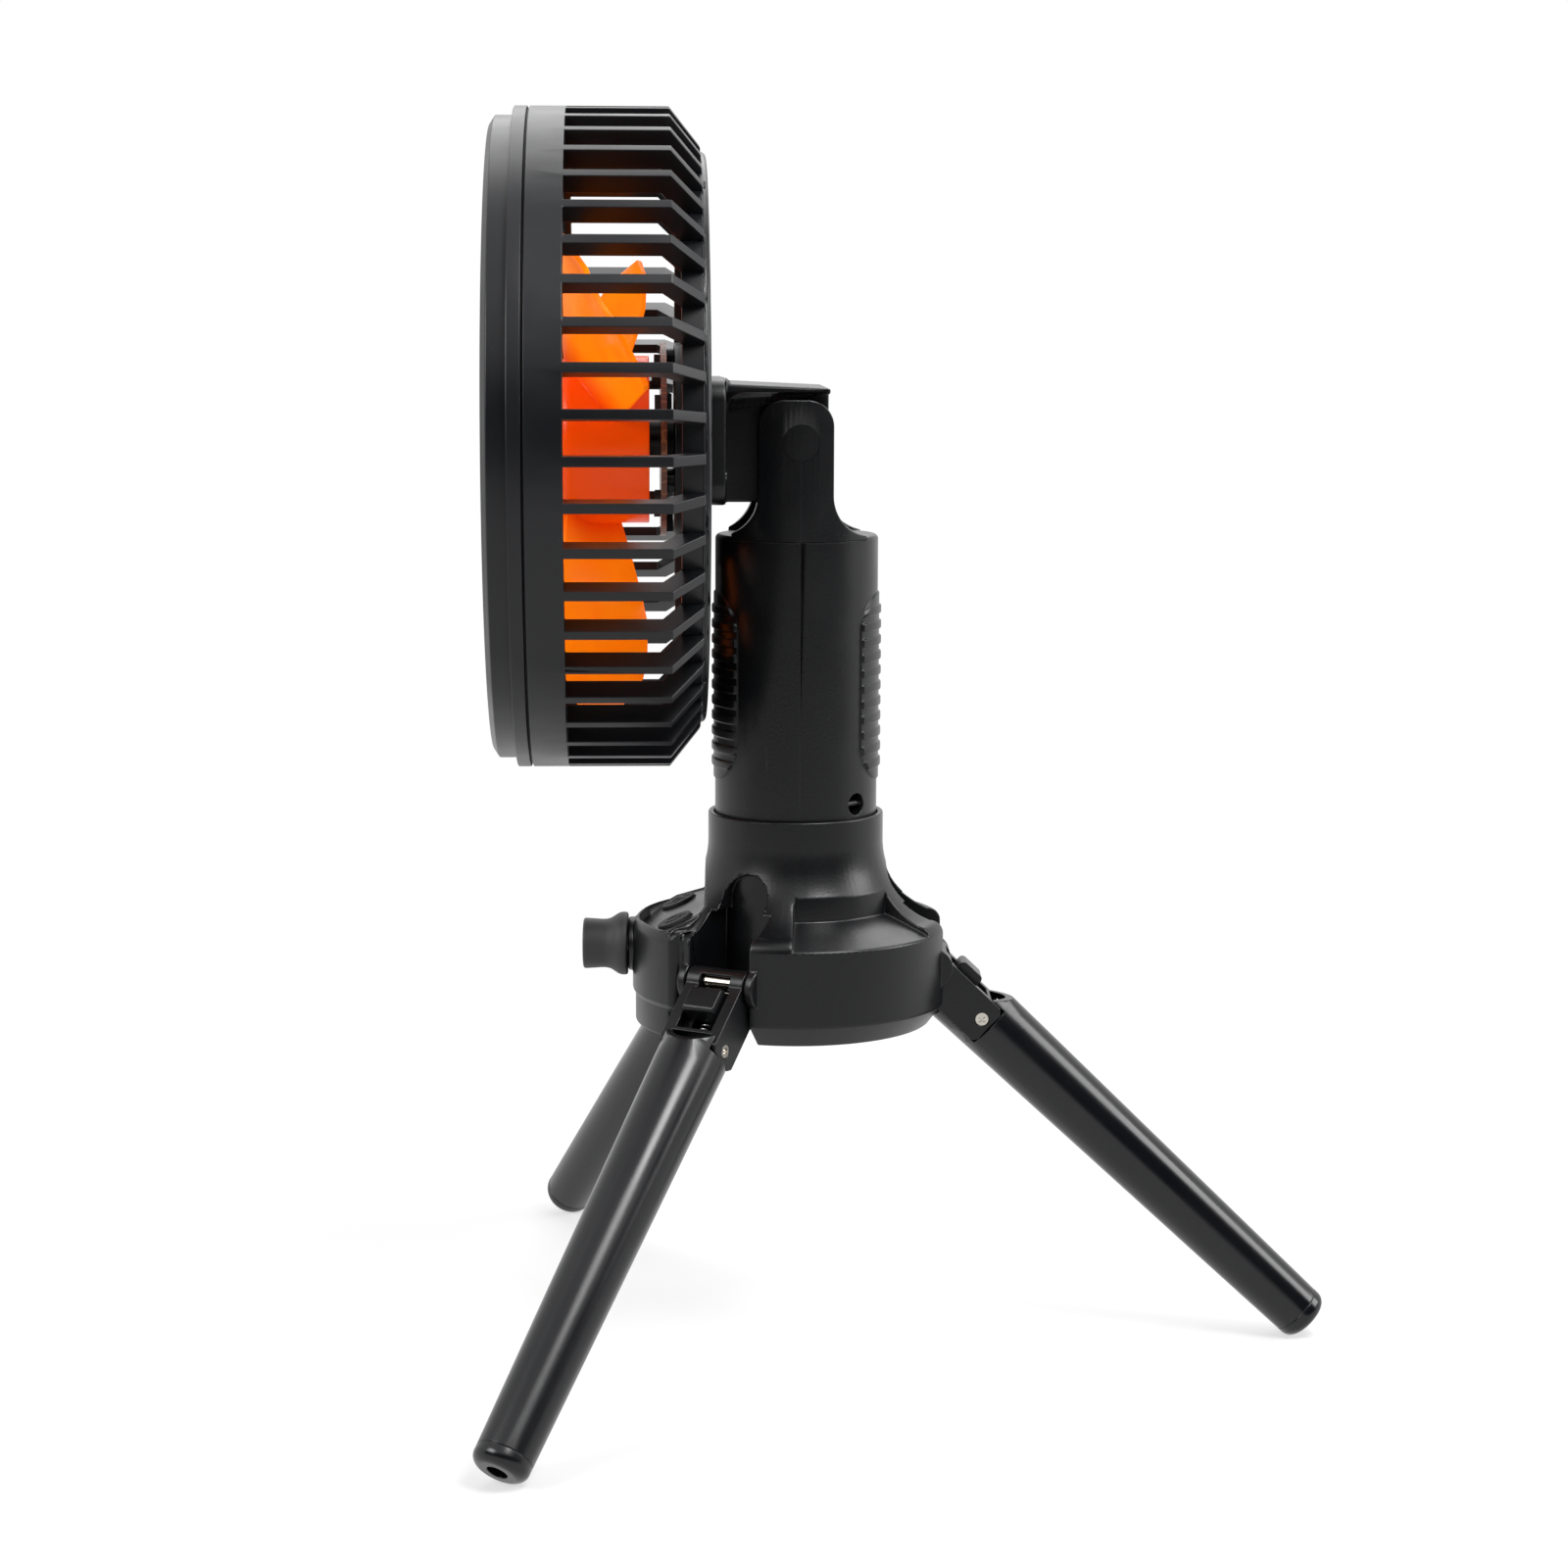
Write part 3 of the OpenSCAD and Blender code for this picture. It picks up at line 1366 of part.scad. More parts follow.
// The rear leg
module rear_bracket() { color(black) bracket(rear); }
module rear_tube() { color(black_gloss) tube(rear); }
module rear_screws() { color(nickel) clamp_screws(rear); }
module rear_foot() { color(black_gloss) foot(rear); }
module rear_spring() { color(steel) latch_spring(rear); }
module rear_latch() { color(black) latch(rear); }

front_guard();
guard_cap();
rear_cage();
rear_cover();
cover_screws();
neck_block();
neck_screws();
motor_mount();
motor_board();
motor_parts();
stator_core();
stator_coils();
shaft_bearings();
impeller();
rotor_can();
rotor_magnet();
motor_shaft();
handle_front();
handle_rear();
handle_screws();
tilt_pin();
tilt_caps();
tilt_washers();
battery_cells();
battery_cradle();
hub();
bottom_cover();
hub_screws();
hinge_pins();
hinge_sleeves();
button_panel();
switch_board();
button_switches();
speed_dial();
power_button();
light_button();
speed_knob();
knob_spindle();
right_bracket();
right_tube();
right_screws();
right_foot();
right_spring();
right_latch();
left_bracket();
left_tube();
left_screws();
left_foot();
left_spring();
left_latch();
rear_bracket();
rear_tube();
rear_screws();
rear_foot();
rear_spring();
rear_latch();
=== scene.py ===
"""Dresses the camping fan's CAD frame: softened mouldings, finishes, studio and camera."""

import json
import logging
import math
from collections.abc import Callable, Iterable, Sequence
from dataclasses import dataclass, field
from enum import Enum
from typing import Any

import bmesh
import bpy
from mathutils import Matrix, Vector
from mathutils.bvhtree import BVHTree


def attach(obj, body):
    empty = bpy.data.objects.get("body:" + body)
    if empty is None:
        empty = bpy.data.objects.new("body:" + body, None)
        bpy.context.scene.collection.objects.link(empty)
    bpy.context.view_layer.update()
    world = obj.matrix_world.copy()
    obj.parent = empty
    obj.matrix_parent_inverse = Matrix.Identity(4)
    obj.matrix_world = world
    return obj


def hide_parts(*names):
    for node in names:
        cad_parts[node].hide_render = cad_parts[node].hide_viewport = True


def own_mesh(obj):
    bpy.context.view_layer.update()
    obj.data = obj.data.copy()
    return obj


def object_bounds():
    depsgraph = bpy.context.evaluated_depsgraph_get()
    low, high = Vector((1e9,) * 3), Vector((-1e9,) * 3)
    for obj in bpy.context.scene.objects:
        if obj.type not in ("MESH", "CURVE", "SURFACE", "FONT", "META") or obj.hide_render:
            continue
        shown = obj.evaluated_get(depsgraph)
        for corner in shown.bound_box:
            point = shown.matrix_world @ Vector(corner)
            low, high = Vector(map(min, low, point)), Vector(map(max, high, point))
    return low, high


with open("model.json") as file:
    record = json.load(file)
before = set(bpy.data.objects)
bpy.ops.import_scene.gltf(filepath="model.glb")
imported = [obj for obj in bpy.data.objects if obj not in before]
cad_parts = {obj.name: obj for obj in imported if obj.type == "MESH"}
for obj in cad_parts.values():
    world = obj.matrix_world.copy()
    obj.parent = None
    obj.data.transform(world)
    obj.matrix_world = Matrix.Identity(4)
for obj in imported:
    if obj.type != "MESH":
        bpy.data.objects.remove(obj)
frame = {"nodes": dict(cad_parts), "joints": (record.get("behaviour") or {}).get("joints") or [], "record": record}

logging.basicConfig(level=logging.INFO, format="%(message)s")
LOG = logging.getLogger("fan")

MM = 0.001
CAD_BOX = [list(corner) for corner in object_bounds()]
SLOT_OF = {part["node"]: part["material_slot"] for part in frame["record"]["subparts"]}
JOINT_OF = {joint["name"]: joint for joint in frame["joints"]}
BODY_OF = {
    node: body
    for body, nodes in frame["record"]["behaviour"]["bodies"].items()
    for node in nodes
}

ORIGIN = (0.0, 0.0, 0.0)
UPRIGHT = (0.0, 0.0, 1.0)
WELD = 1e-6  # Points nearer than this, in metres, are one point.
NOISE_LOW, NOISE_HIGH = 0.3, 0.7  # Nearly all of a noise pattern lies between these.


# ---- Finishes ----


def linear(hex_colour: str) -> tuple[float, float, float, float]:
    """Turn an sRGB hex colour into linear light.

    Args:
        hex_colour: Six hex digits with a leading #.

    Returns:
        Red, green, blue and alpha from 0 to 1.
    """
    parts = [int(hex_colour[i : i + 2], 16) / 255 for i in (1, 3, 5)]
    parts = [c / 12.92 if c <= 0.04045 else ((c + 0.055) / 1.055) ** 2.4 for c in parts]
    return parts[0], parts[1], parts[2], 1.0


def grey(level: float) -> tuple[float, float, float, float]:
    """Give an opaque grey of so much linear light, from 0 to 1."""
    return level, level, level, 1.0


def per_mm(size_mm: float) -> float:
    """Give the texture scale whose features are so many millimetres wide."""
    return 1.0 / (size_mm * MM)


def empty_tree(owner: bpy.types.Material | bpy.types.World) -> bpy.types.NodeTree:
    """Turn on the nodes of a material or world and clear them.

    Args:
        owner: The material or world.

    Returns:
        Its empty node tree.
    """
    owner.use_nodes = True
    owner.node_tree.nodes.clear()
    return owner.node_tree


def add_node(
    tree: bpy.types.NodeTree,
    kind: str,
    settings: dict[str, Any] | None = None,
    inputs: dict[str | int, Any] | None = None,
) -> bpy.types.Node:
    """Add one shader node.

    Args:
        tree: The node tree that gets the node.
        kind: The node's type name.
        settings: Properties of the node itself.
        inputs: Socket names or numbers, each with a value or an output socket to link.

    Returns:
        The new node.
    """
    node = tree.nodes.new(kind)
    for name, value in (settings or {}).items():
        setattr(node, name, value)
    for name, value in (inputs or {}).items():
        if isinstance(value, bpy.types.NodeSocket):
            tree.links.new(value, node.inputs[name])
        else:
            node.inputs[name].default_value = value
    return node


@dataclass(frozen=True)
class Finish:
    """A surface finish, which makes its material once and keeps it."""

    name: str
    colour: str
    roughness: float

    def material(self) -> bpy.types.Material:
        """Give the finish's material, made at the first call.

        Returns:
            The material that every piece of this finish shares.
        """
        made = bpy.data.materials.get(self.name)
        if made is None:
            made = bpy.data.materials.new(self.name)
            made.diffuse_color = linear(self.colour)
            tree = empty_tree(made)
            shader = add_node(
                tree,
                "ShaderNodeBsdfPrincipled",
                inputs={"Base Color": linear(self.colour), "Roughness": self.roughness},
            )
            add_node(tree, "ShaderNodeOutputMaterial", inputs={"Surface": shader.outputs[0]})
            self.dress(tree, shader)
        return made

    def dress(self, tree: bpy.types.NodeTree, shader: bpy.types.Node) -> None:
        """Add this finish's own nodes to the plain shader."""

    def vary_gloss(
        self,
        tree: bpy.types.NodeTree,
        shader: bpy.types.Node,
        pattern: bpy.types.NodeSocket,
        spread: float,
    ) -> None:
        """Let the roughness follow a pattern.

        Args:
            tree: The material's node tree.
            shader: Its principled shader.
            pattern: The noise that it follows.
            spread: How far it goes to either side of the finish's roughness.
        """
        gloss = add_node(
            tree,
            "ShaderNodeMapRange",
            inputs={
                "Value": pattern,
                "From Min": NOISE_LOW,
                "From Max": NOISE_HIGH,
                "To Min": self.roughness - spread,
                "To Max": self.roughness + spread,
            },
        )
        tree.links.new(gloss.outputs[0], shader.inputs["Roughness"])

    @staticmethod
    def place(tree: bpy.types.NodeTree) -> bpy.types.NodeSocket:
        """Return the coordinates that patterns lie on, in metres."""
        return add_node(tree, "ShaderNodeTexCoord").outputs["Object"]


@dataclass(frozen=True)
class MouldedPlastic(Finish):
    """Injection-moulded plastic with the grain of a spark-eroded mould."""

    # Paler colour for scuffs and sharp edges; the edges are partly wear and partly a painted edge highlight.
    light: str = "#303236"
    ior: float = 1.5
    specular: float = 0.28
    spread: float = 0.06
    cloud_mm: float = 22.0
    grain_mm: float = 0.5
    grain_depth_mm: float = 0.012
    scuffs: float = 0.3
    scuff_mm: float = 1.4
    scuff_stretch: float = 0.12
    scuff_noise: tuple[float, float] = (0.7, 0.8)
    # How much paler the sharp edges are painted, as wear and as a painted edge highlight.
    edge_wear_and_highlight: float = 0.35
    edge_wear_and_highlight_mm: float = 0.45
    edge_wear_and_highlight_turn: tuple[float, float] = (0.98, 0.80)

    def dress(self, tree: bpy.types.NodeTree, shader: bpy.types.Node) -> None:
        """Add grain, clouded gloss, paler edges and a few scuffs; the paler edges are partly wear, partly a
        painted edge highlight.

        Args:
            tree: The material's node tree.
            shader: Its principled shader.
        """
        shader.inputs["IOR"].default_value = self.ior
        shader.inputs["Specular IOR Level"].default_value = self.specular
        place = self.place(tree)
        cloud = add_node(
            tree,
            "ShaderNodeTexNoise",
            inputs={"Vector": place, "Scale": per_mm(self.cloud_mm), "Detail": 4.0},
        )
        self.vary_gloss(tree, shader, cloud.outputs["Fac"], self.spread)
        # Scuffs and sharp edges are painted paler; on the edges this is partly wear, partly a painted highlight.
        pale = add_node(
            tree,
            "ShaderNodeMath",
            {"operation": "MAXIMUM"},
            {0: self.scuff_marks(tree, place), 1: self.worn_and_highlit_edges(tree)},
        )
        tone = add_node(
            tree,
            "ShaderNodeMix",
            {"data_type": "RGBA"},
            {"Factor": pale.outputs[0], "A": linear(self.colour), "B": linear(self.light)},
        )
        tree.links.new(tone.outputs["Result"], shader.inputs["Base Color"])
        grain = add_node(
            tree,
            "ShaderNodeTexNoise",
            inputs={"Vector": place, "Scale": per_mm(self.grain_mm), "Detail": 2.0},
        )
        bump = add_node(
            tree,
            "ShaderNodeBump",
            inputs={
                "Strength": 0.6,
                "Distance": self.grain_depth_mm * MM,
                "Height": grain.outputs["Fac"],
            },
        )
        tree.links.new(bump.outputs[0], shader.inputs["Normal"])

    def scuff_marks(
        self, tree: bpy.types.NodeTree, place: bpy.types.NodeSocket
    ) -> bpy.types.NodeSocket:
        """Draw short pale rubs: noise drawn out along the height and cut off high.

        Args:
            tree: The material's node tree.
            place: The coordinates that the rubs lie on.

        Returns:
            How pale each spot is.
        """
        stretch = add_node(
            tree,
            "ShaderNodeMapping",
            inputs={"Vector": place, "Scale": (1.0, 1.0, self.scuff_stretch)},
        )
        rub = add_node(
            tree,
            "ShaderNodeTexNoise",
            inputs={
                "Vector": stretch.outputs[0],
                "Scale": per_mm(self.scuff_mm),
                "Detail": 3.0,
            },
        )
        scuff = add_node(
            tree,
            "ShaderNodeMapRange",
            inputs={
                "Value": rub.outputs["Fac"],
                "From Min": self.scuff_noise[0],
                "From Max": self.scuff_noise[1],
                "To Max": self.scuffs,
            },
        )
        return scuff.outputs[0]

    def worn_and_highlit_edges(self, tree: bpy.types.NodeTree) -> bpy.types.NodeSocket:
        """Find the sharp edges, where a softened normal leaves the real one, to paint them paler as wear and as a
        painted edge highlight.

        Args:
            tree: The material's node tree.

        Returns:
            How much paler each spot is painted, as wear and as a painted edge highlight.
        """
        soft = add_node(
            tree, "ShaderNodeBevel", {"samples": 4}, {"Radius": self.edge_wear_and_highlight_mm * MM}
        )
        face = add_node(tree, "ShaderNodeNewGeometry")
        turn = add_node(
            tree,
            "ShaderNodeVectorMath",
            {"operation": "DOT_PRODUCT"},
            {0: soft.outputs[0], 1: face.outputs["Normal"]},
        )
        # Paler where the edge is sharp: partly wear, partly a painted edge highlight.
        worn_and_highlit = add_node(
            tree,
            "ShaderNodeMapRange",
            inputs={
                "Value": turn.outputs["Value"],
                "From Min": self.edge_wear_and_highlight_turn[0],
                "From Max": self.edge_wear_and_highlight_turn[1],
                "To Max": self.edge_wear_and_highlight,
            },
        )
        return worn_and_highlit.outputs[0]


@dataclass(frozen=True)
class TintedResin(Finish):
    """Clear resin with dye in it: red where it is thick, with a painted glow from emission that is a little
    stronger where it is thin.
    """

    thick: str = "#f24c02"
    ior: float = 1.49
    specular: float = 0.25
    glow: float = 0.5
    reach_mm: float = 3.0
    reach_rgb: tuple[float, float, float] = (1.0, 0.32, 0.06)
    # Strength of the painted glow from emission, at the hub and out on the blades.
    painted_glow: tuple[float, float] = (0.3, 0.36)
    clear: float = 0.35
    hub_mm: float = 23.4
    thin_mm: float = 34.0
    flow_mm: float = 14.0
    streaks: tuple[float, float] = (0.7, 1.15)

    def dress(self, tree: bpy.types.NodeTree, shader: bpy.types.Node) -> None:
        """Add the dye's depth, the subsurface glow, a painted glow from emission and the faint flow lines of the
        moulding.

        Args:
            tree: The material's node tree.
            shader: Its principled shader.
        """
        shader.inputs["IOR"].default_value = self.ior
        shader.inputs["Specular IOR Level"].default_value = self.specular
        shader.inputs["Subsurface Weight"].default_value = self.glow
        shader.inputs["Subsurface Radius"].default_value = self.reach_rgb
        shader.inputs["Subsurface Scale"].default_value = self.reach_mm * MM
        place = self.place(tree)
        thin = self.thinness(tree, place)
        tone = self.dye(tree, place, thin)
        tree.links.new(tone, shader.inputs["Base Color"])
        # Painted glow: the dye's colour is also emitted, so the resin glows though it is no lamp.
        tree.links.new(tone, shader.inputs["Emission Color"])
        painted_glow = add_node(
            tree,
            "ShaderNodeMapRange",
            inputs={"Value": thin, "To Min": self.painted_glow[0], "To Max": self.painted_glow[1]},
        )
        tree.links.new(painted_glow.outputs[0], shader.inputs["Emission Strength"])
        see = add_node(
            tree, "ShaderNodeMath", {"operation": "MULTIPLY"}, {0: thin, 1: self.clear}
        )
        tree.links.new(see.outputs[0], shader.inputs["Transmission Weight"])

    def thinness(
        self, tree: bpy.types.NodeTree, place: bpy.types.NodeSocket
    ) -> bpy.types.NodeSocket:
        """Tell how thin the resin is from its distance to the spin axis.

        Args:
            tree: The material's node tree.
            place: The coordinates, in metres.

        Returns:
            0 at the hub's skin and 1 out on the blades.
        """
        out = add_node(
            tree,
            "ShaderNodeVectorMath",
            {"operation": "SUBTRACT"},
            {0: place, 1: JOINT_OF["blade_spin"]["pos_m"]},
        )
        flat = add_node(
            tree,
            "ShaderNodeVectorMath",
            {"operation": "MULTIPLY"},
            {0: out.outputs[0], 1: (1.0, 0.0, 1.0)},
        )
        away = add_node(
            tree, "ShaderNodeVectorMath", {"operation": "LENGTH"}, {0: flat.outputs[0]}
        )
        thin = add_node(
            tree,
            "ShaderNodeMapRange",
            inputs={
                "Value": away.outputs["Value"],
                "From Min": self.hub_mm * MM,
                "From Max": self.thin_mm * MM,
            },
        )
        return thin.outputs[0]

    def dye(
        self,
        tree: bpy.types.NodeTree,
        place: bpy.types.NodeSocket,
        thin: bpy.types.NodeSocket,
    ) -> bpy.types.NodeSocket:
        """Mix the dye's two colours, with flow lines where the melt ran.

        Args:
            tree: The material's node tree.
            place: The coordinates, in metres.
            thin: How thin the resin is, from 0 to 1.

        Returns:
            The colour, used as the base colour and as the colour of the painted glow.
        """
        flow = add_node(
            tree,
            "ShaderNodeTexNoise",
            inputs={
                "Vector": place,
                "Scale": per_mm(self.flow_mm),
                "Detail": 3.0,
                "Distortion": 0.6,
            },
        )
        streak = add_node(
            tree,
            "ShaderNodeMapRange",
            inputs={
                "Value": flow.outputs["Fac"],
                "To Min": self.streaks[0],
                "To Max": self.streaks[1],
            },
        )
        share = add_node(
            tree, "ShaderNodeMath", {"operation": "MULTIPLY"}, {0: thin, 1: streak.outputs[0]}
        )
        tone = add_node(
            tree,
            "ShaderNodeMix",
            {"data_type": "RGBA"},
            {"Factor": share.outputs[0], "A": linear(self.thick), "B": linear(self.colour)},
        )
        return tone.outputs["Result"]


@dataclass(frozen=True)
class WorkedMetal(Finish):
    """Metal with the fine lines or grain that its making leaves."""

    spread: float = 0.08
    grain_mm: float = 0.4
    grain_depth_mm: float = 0.01
    stretch: tuple[float, float, float] = (1.0, 1.0, 1.0)

    def dress(self, tree: bpy.types.NodeTree, shader: bpy.types.Node) -> None:
        """Add the metal's lines to its gloss and surface.

        Args:
            tree: The material's node tree.
            shader: Its principled shader.
        """
        shader.inputs["Metallic"].default_value = 1.0
        along = add_node(
            tree,
            "ShaderNodeMapping",
            inputs={"Vector": self.place(tree), "Scale": self.stretch},
        )
        lines = add_node(
            tree,
            "ShaderNodeTexNoise",
            inputs={
                "Vector": along.outputs[0],
                "Scale": per_mm(self.grain_mm),
                "Detail": 4.0,
            },
        )
        self.vary_gloss(tree, shader, lines.outputs["Fac"], self.spread)
        bump = add_node(
            tree,
            "ShaderNodeBump",
            inputs={
                "Strength": 0.3,
                "Distance": self.grain_depth_mm * MM,
                "Height": lines.outputs["Fac"],
            },
        )
        tree.links.new(bump.outputs[0], shader.inputs["Normal"])


class Across(Enum):
    """The axis that bands follow each other along."""

    FRONT_TO_BACK = "Y"
    BOTTOM_TO_TOP = "Z"


@dataclass(frozen=True)
class BandedStack(Finish):
    """Metal built up in even bands, such as stamped sheets or wound wire.

    Blender's wave texture makes each band math.tau / 20 of wave_mm wide.
    """

    dark: str = "#3f4144"
    wave_mm: float = 16.0
    wave_depth: float = 0.01
    across: Across = Across.FRONT_TO_BACK

    def dress(self, tree: bpy.types.NodeTree, shader: bpy.types.Node) -> None:
        """Add the bands to colour and surface.

        Args:
            tree: The material's node tree.
            shader: Its principled shader.
        """
        shader.inputs["Metallic"].default_value = 1.0
        wave = add_node(
            tree,
            "ShaderNodeTexWave",
            {"bands_direction": self.across.value},
            {
                "Vector": self.place(tree),
                "Scale": per_mm(self.wave_mm),
                "Distortion": 0.4,
            },
        )
        tone = add_node(
            tree,
            "ShaderNodeMix",
            {"data_type": "RGBA"},
            {"Factor": wave.outputs["Fac"], "A": linear(self.dark), "B": linear(self.colour)},
        )
        tree.links.new(tone.outputs["Result"], shader.inputs["Base Color"])
        bump = add_node(
            tree,
            "ShaderNodeBump",
            inputs={
                "Strength": 0.8,
                "Distance": self.wave_depth * self.wave_mm * MM,
                "Height": wave.outputs["Fac"],
            },
        )
        tree.links.new(bump.outputs[0], shader.inputs["Normal"])


@dataclass(frozen=True)
class CircuitBoard(Finish):
    """Paper or glass laminate under lacquer, with copper tracks showing through."""

    track: str = "#a4623a"
    track_edge: tuple[float, float] = (0.10, 0.06)
    track_strength: float = 0.6
    lacquer: float = 0.3
    cell_mm: float = 3.2

    def dress(self, tree: bpy.types.NodeTree, shader: bpy.types.Node) -> None:
        """Add the tracks under the lacquer.

        Args:
            tree: The material's node tree.
            shader: Its principled shader.
        """
        shader.inputs["Coat Weight"].default_value = self.lacquer
        cells = add_node(
            tree,
            "ShaderNodeTexVoronoi",
            {"feature": "DISTANCE_TO_EDGE"},
            {"Vector": self.place(tree), "Scale": per_mm(self.cell_mm)},
        )
        line = add_node(
            tree,
            "ShaderNodeMapRange",
            inputs={
                "Value": cells.outputs["Distance"],
                "From Min": self.track_edge[0],
                "From Max": self.track_edge[1],
                "To Max": self.track_strength,
            },
        )
        tone = add_node(
            tree,
            "ShaderNodeMix",
            {"data_type": "RGBA"},
            {"Factor": line.outputs[0], "A": linear(self.colour), "B": linear(self.track)},
        )
        tree.links.new(tone.outputs["Result"], shader.inputs["Base Color"])


# Black ABS from a lightly grained mould: near black, with a soft broad sheen. The grain
# of such a mould is about 0.2 mm, drawn here at 0.7 mm so that it shows.
CASE_ABS = MouldedPlastic(
    "Satin moulded ABS", "#0a0b0d", 0.33, grain_mm=0.7, grain_depth_mm=0.05, specular=0.36
)
# The cage mould is polished along its ribs, so their flats shine more; their edges are painted paler than the
# case's, partly as wear and partly as a painted edge highlight.
CAGE_ABS = MouldedPlastic(
    "Cage ABS", "#0e0f12", 0.34, grain_depth_mm=0.008, specular=0.34, edge_wear_and_highlight=0.5
)
# The legs come from a smoother mould: a deeper black with long clean streaks.
LEG_ABS = MouldedPlastic(
    "Semi-gloss leg ABS", "#0a0b0e", 0.22, grain_depth_mm=0.004, cloud_mm=40.0, specular=0.42
)
# Thermoplastic rubber: dull, slightly lighter, without a clear highlight.
SOFT_RUBBER = MouldedPlastic(
    "Soft rubber", "#232323", 0.7, grain_mm=0.35, grain_depth_mm=0.02, specular=0.25, edge_wear_and_highlight=0.15
)
# The knob's rubber is drawn a greyer black than the grip rubber.
KNOB_RUBBER = MouldedPlastic(
    "Knob rubber",
    "#2d2d2e",
    0.55,
    light="#414142",
    grain_mm=0.3,
    grain_depth_mm=0.02,
    specular=0.4,
    edge_wear_and_highlight=0.15,
)
# The signs are moulded in one with the buttons and are drawn darker than them.
SIGN_RUBBER = MouldedPlastic("Raised sign rubber", "#1a1a1b", 0.55, grain_mm=0.3, edge_wear_and_highlight=0.1)
# Dyed clear resin of the impeller: bright orange where thin, redder where thick, with a painted glow from
# emission.
ORANGE_RESIN = TintedResin("Orange resin", "#ff9408", 0.25)
# Nickel plate on small screws: warm, bright and a little uneven.
BRIGHT_NICKEL = WorkedMetal("Bright nickel", "#c9c4ba", 0.24)
# Ground steel: grey, with fine lines along the motor's axis.
BRIGHT_STEEL = WorkedMetal("Ground steel", "#a9abae", 0.3, stretch=(1.0, 0.1, 1.0))
# Hinge barrels are polished bar, worn bright by turning.
POLISHED_STEEL = WorkedMetal(
    "Polished hinge steel", "#9c968c", 0.14, spread=0.04, grain_mm=1.2
)
# Black oxide is thin, so the steel's grey glints through it.
BLACK_OXIDE = WorkedMetal("Black oxide steel", "#3a3b3e", 0.3, grain_mm=0.6)
# A stack of stamped iron sheets shows each sheet as a line. Sheets are 0.5 mm thick; the
# bands are ten times wider, so that they show through the cage.
STAMPED_SHEETS = BandedStack("Stamped sheets", "#8d9094", 0.4)
# Enamelled wire lies in even turns with dark gaps between them, drawn wider to show too.
WOUND_COPPER = BandedStack(
    "Enamelled copper wire",
    "#c06a2c",
    0.3,
    dark="#5c2a10",
    wave_mm=18.0,
    across=Across.BOTTOM_TO_TOP,
)
# Bonded paper board: dull brown, with copper under the lacquer.
BROWN_LAMINATE = CircuitBoard("Brown laminate", "#6e3a20", 0.4)
# Glass board: green lacquer, with tracks as a lighter green.
GREEN_LAMINATE = CircuitBoard("Green laminate", "#1d5a38", 0.35, track="#2c7a4c")
# Chips are cast in dull black epoxy.
CHIP_EPOXY = MouldedPlastic("Chip epoxy", "#222326", 0.5, grain_mm=0.4, edge_wear_and_highlight=0.2)
# The cells' shrink sleeve is a thin glossy film with a faint ripple.
SHRINK_SLEEVE = MouldedPlastic(
    "Shrink sleeve", "#2f6f86", 0.3, light="#6aa7bb", grain_mm=3.0, grain_depth_mm=0.03
)
# Undyed nylon: milky white, with edges painted paler, partly as wear and partly as a painted edge highlight.
CELL_CRADLE = MouldedPlastic("Natural white nylon", "#d9d6cc", 0.45, light="#efece4")

FINISH_OF = {
    "body": CASE_ABS,
    "legs": LEG_ABS,
    "grip": SOFT_RUBBER,
    "orange": ORANGE_RESIN,
    "steel": BRIGHT_STEEL,
    "nickel": BRIGHT_NICKEL,
    "dark_steel": BLACK_OXIDE,
    "copper": WOUND_COPPER,
    "board": BROWN_LAMINATE,
    "green_board": GREEN_LAMINATE,
    "chips": CHIP_EPOXY,
    "cell": SHRINK_SLEEVE,
    "cradle": CELL_CRADLE,
}


# ---- Mesh helpers ----


def put_in_scene(name: str, data: bpy.types.ID) -> bpy.types.Object:
    """Make an object at the origin and link it to the scene.

    Args:
        name: The object's name.
        data: Its mesh, lamp or camera.

    Returns:
        The new object.
    """
    obj = bpy.data.objects.new(name, data)
    bpy.context.scene.collection.objects.link(obj)
    return obj


def finish_mesh(bm: bmesh.types.BMesh, name: str, crease: float) -> bpy.types.Mesh:
    """Turn a bmesh into a smooth-shaded mesh and free it.

    Args:
        bm: The finished bmesh.
        name: The mesh's name.
        crease: Edges sharper than this many degrees stay sharp.

    Returns:
        The new mesh.
    """
    for face in bm.faces:
        face.smooth = True
    mesh = bpy.data.meshes.new(name)
    bm.to_mesh(mesh)
    bm.free()
    mesh.set_sharp_from_angle(angle=math.radians(crease))
    return mesh


def joint_frame(name: str, outward: float) -> Matrix:
    """Give a frame at a joint, with Z along its axis and X level.

    Args:
        name: The joint's name.
        outward: 1 where the axis points out of the case and -1 where it points in.

    Returns:
        The matrix from that frame to the row frame.
    """
    joint = JOINT_OF[name]
    out = Vector(joint["axis"]).normalized() * outward
    level = Vector(UPRIGHT).cross(out).normalized()
    turn = Matrix((level, out.cross(level), out)).transposed().to_4x4()
    return Matrix.Translation(joint["pos_m"]) @ turn


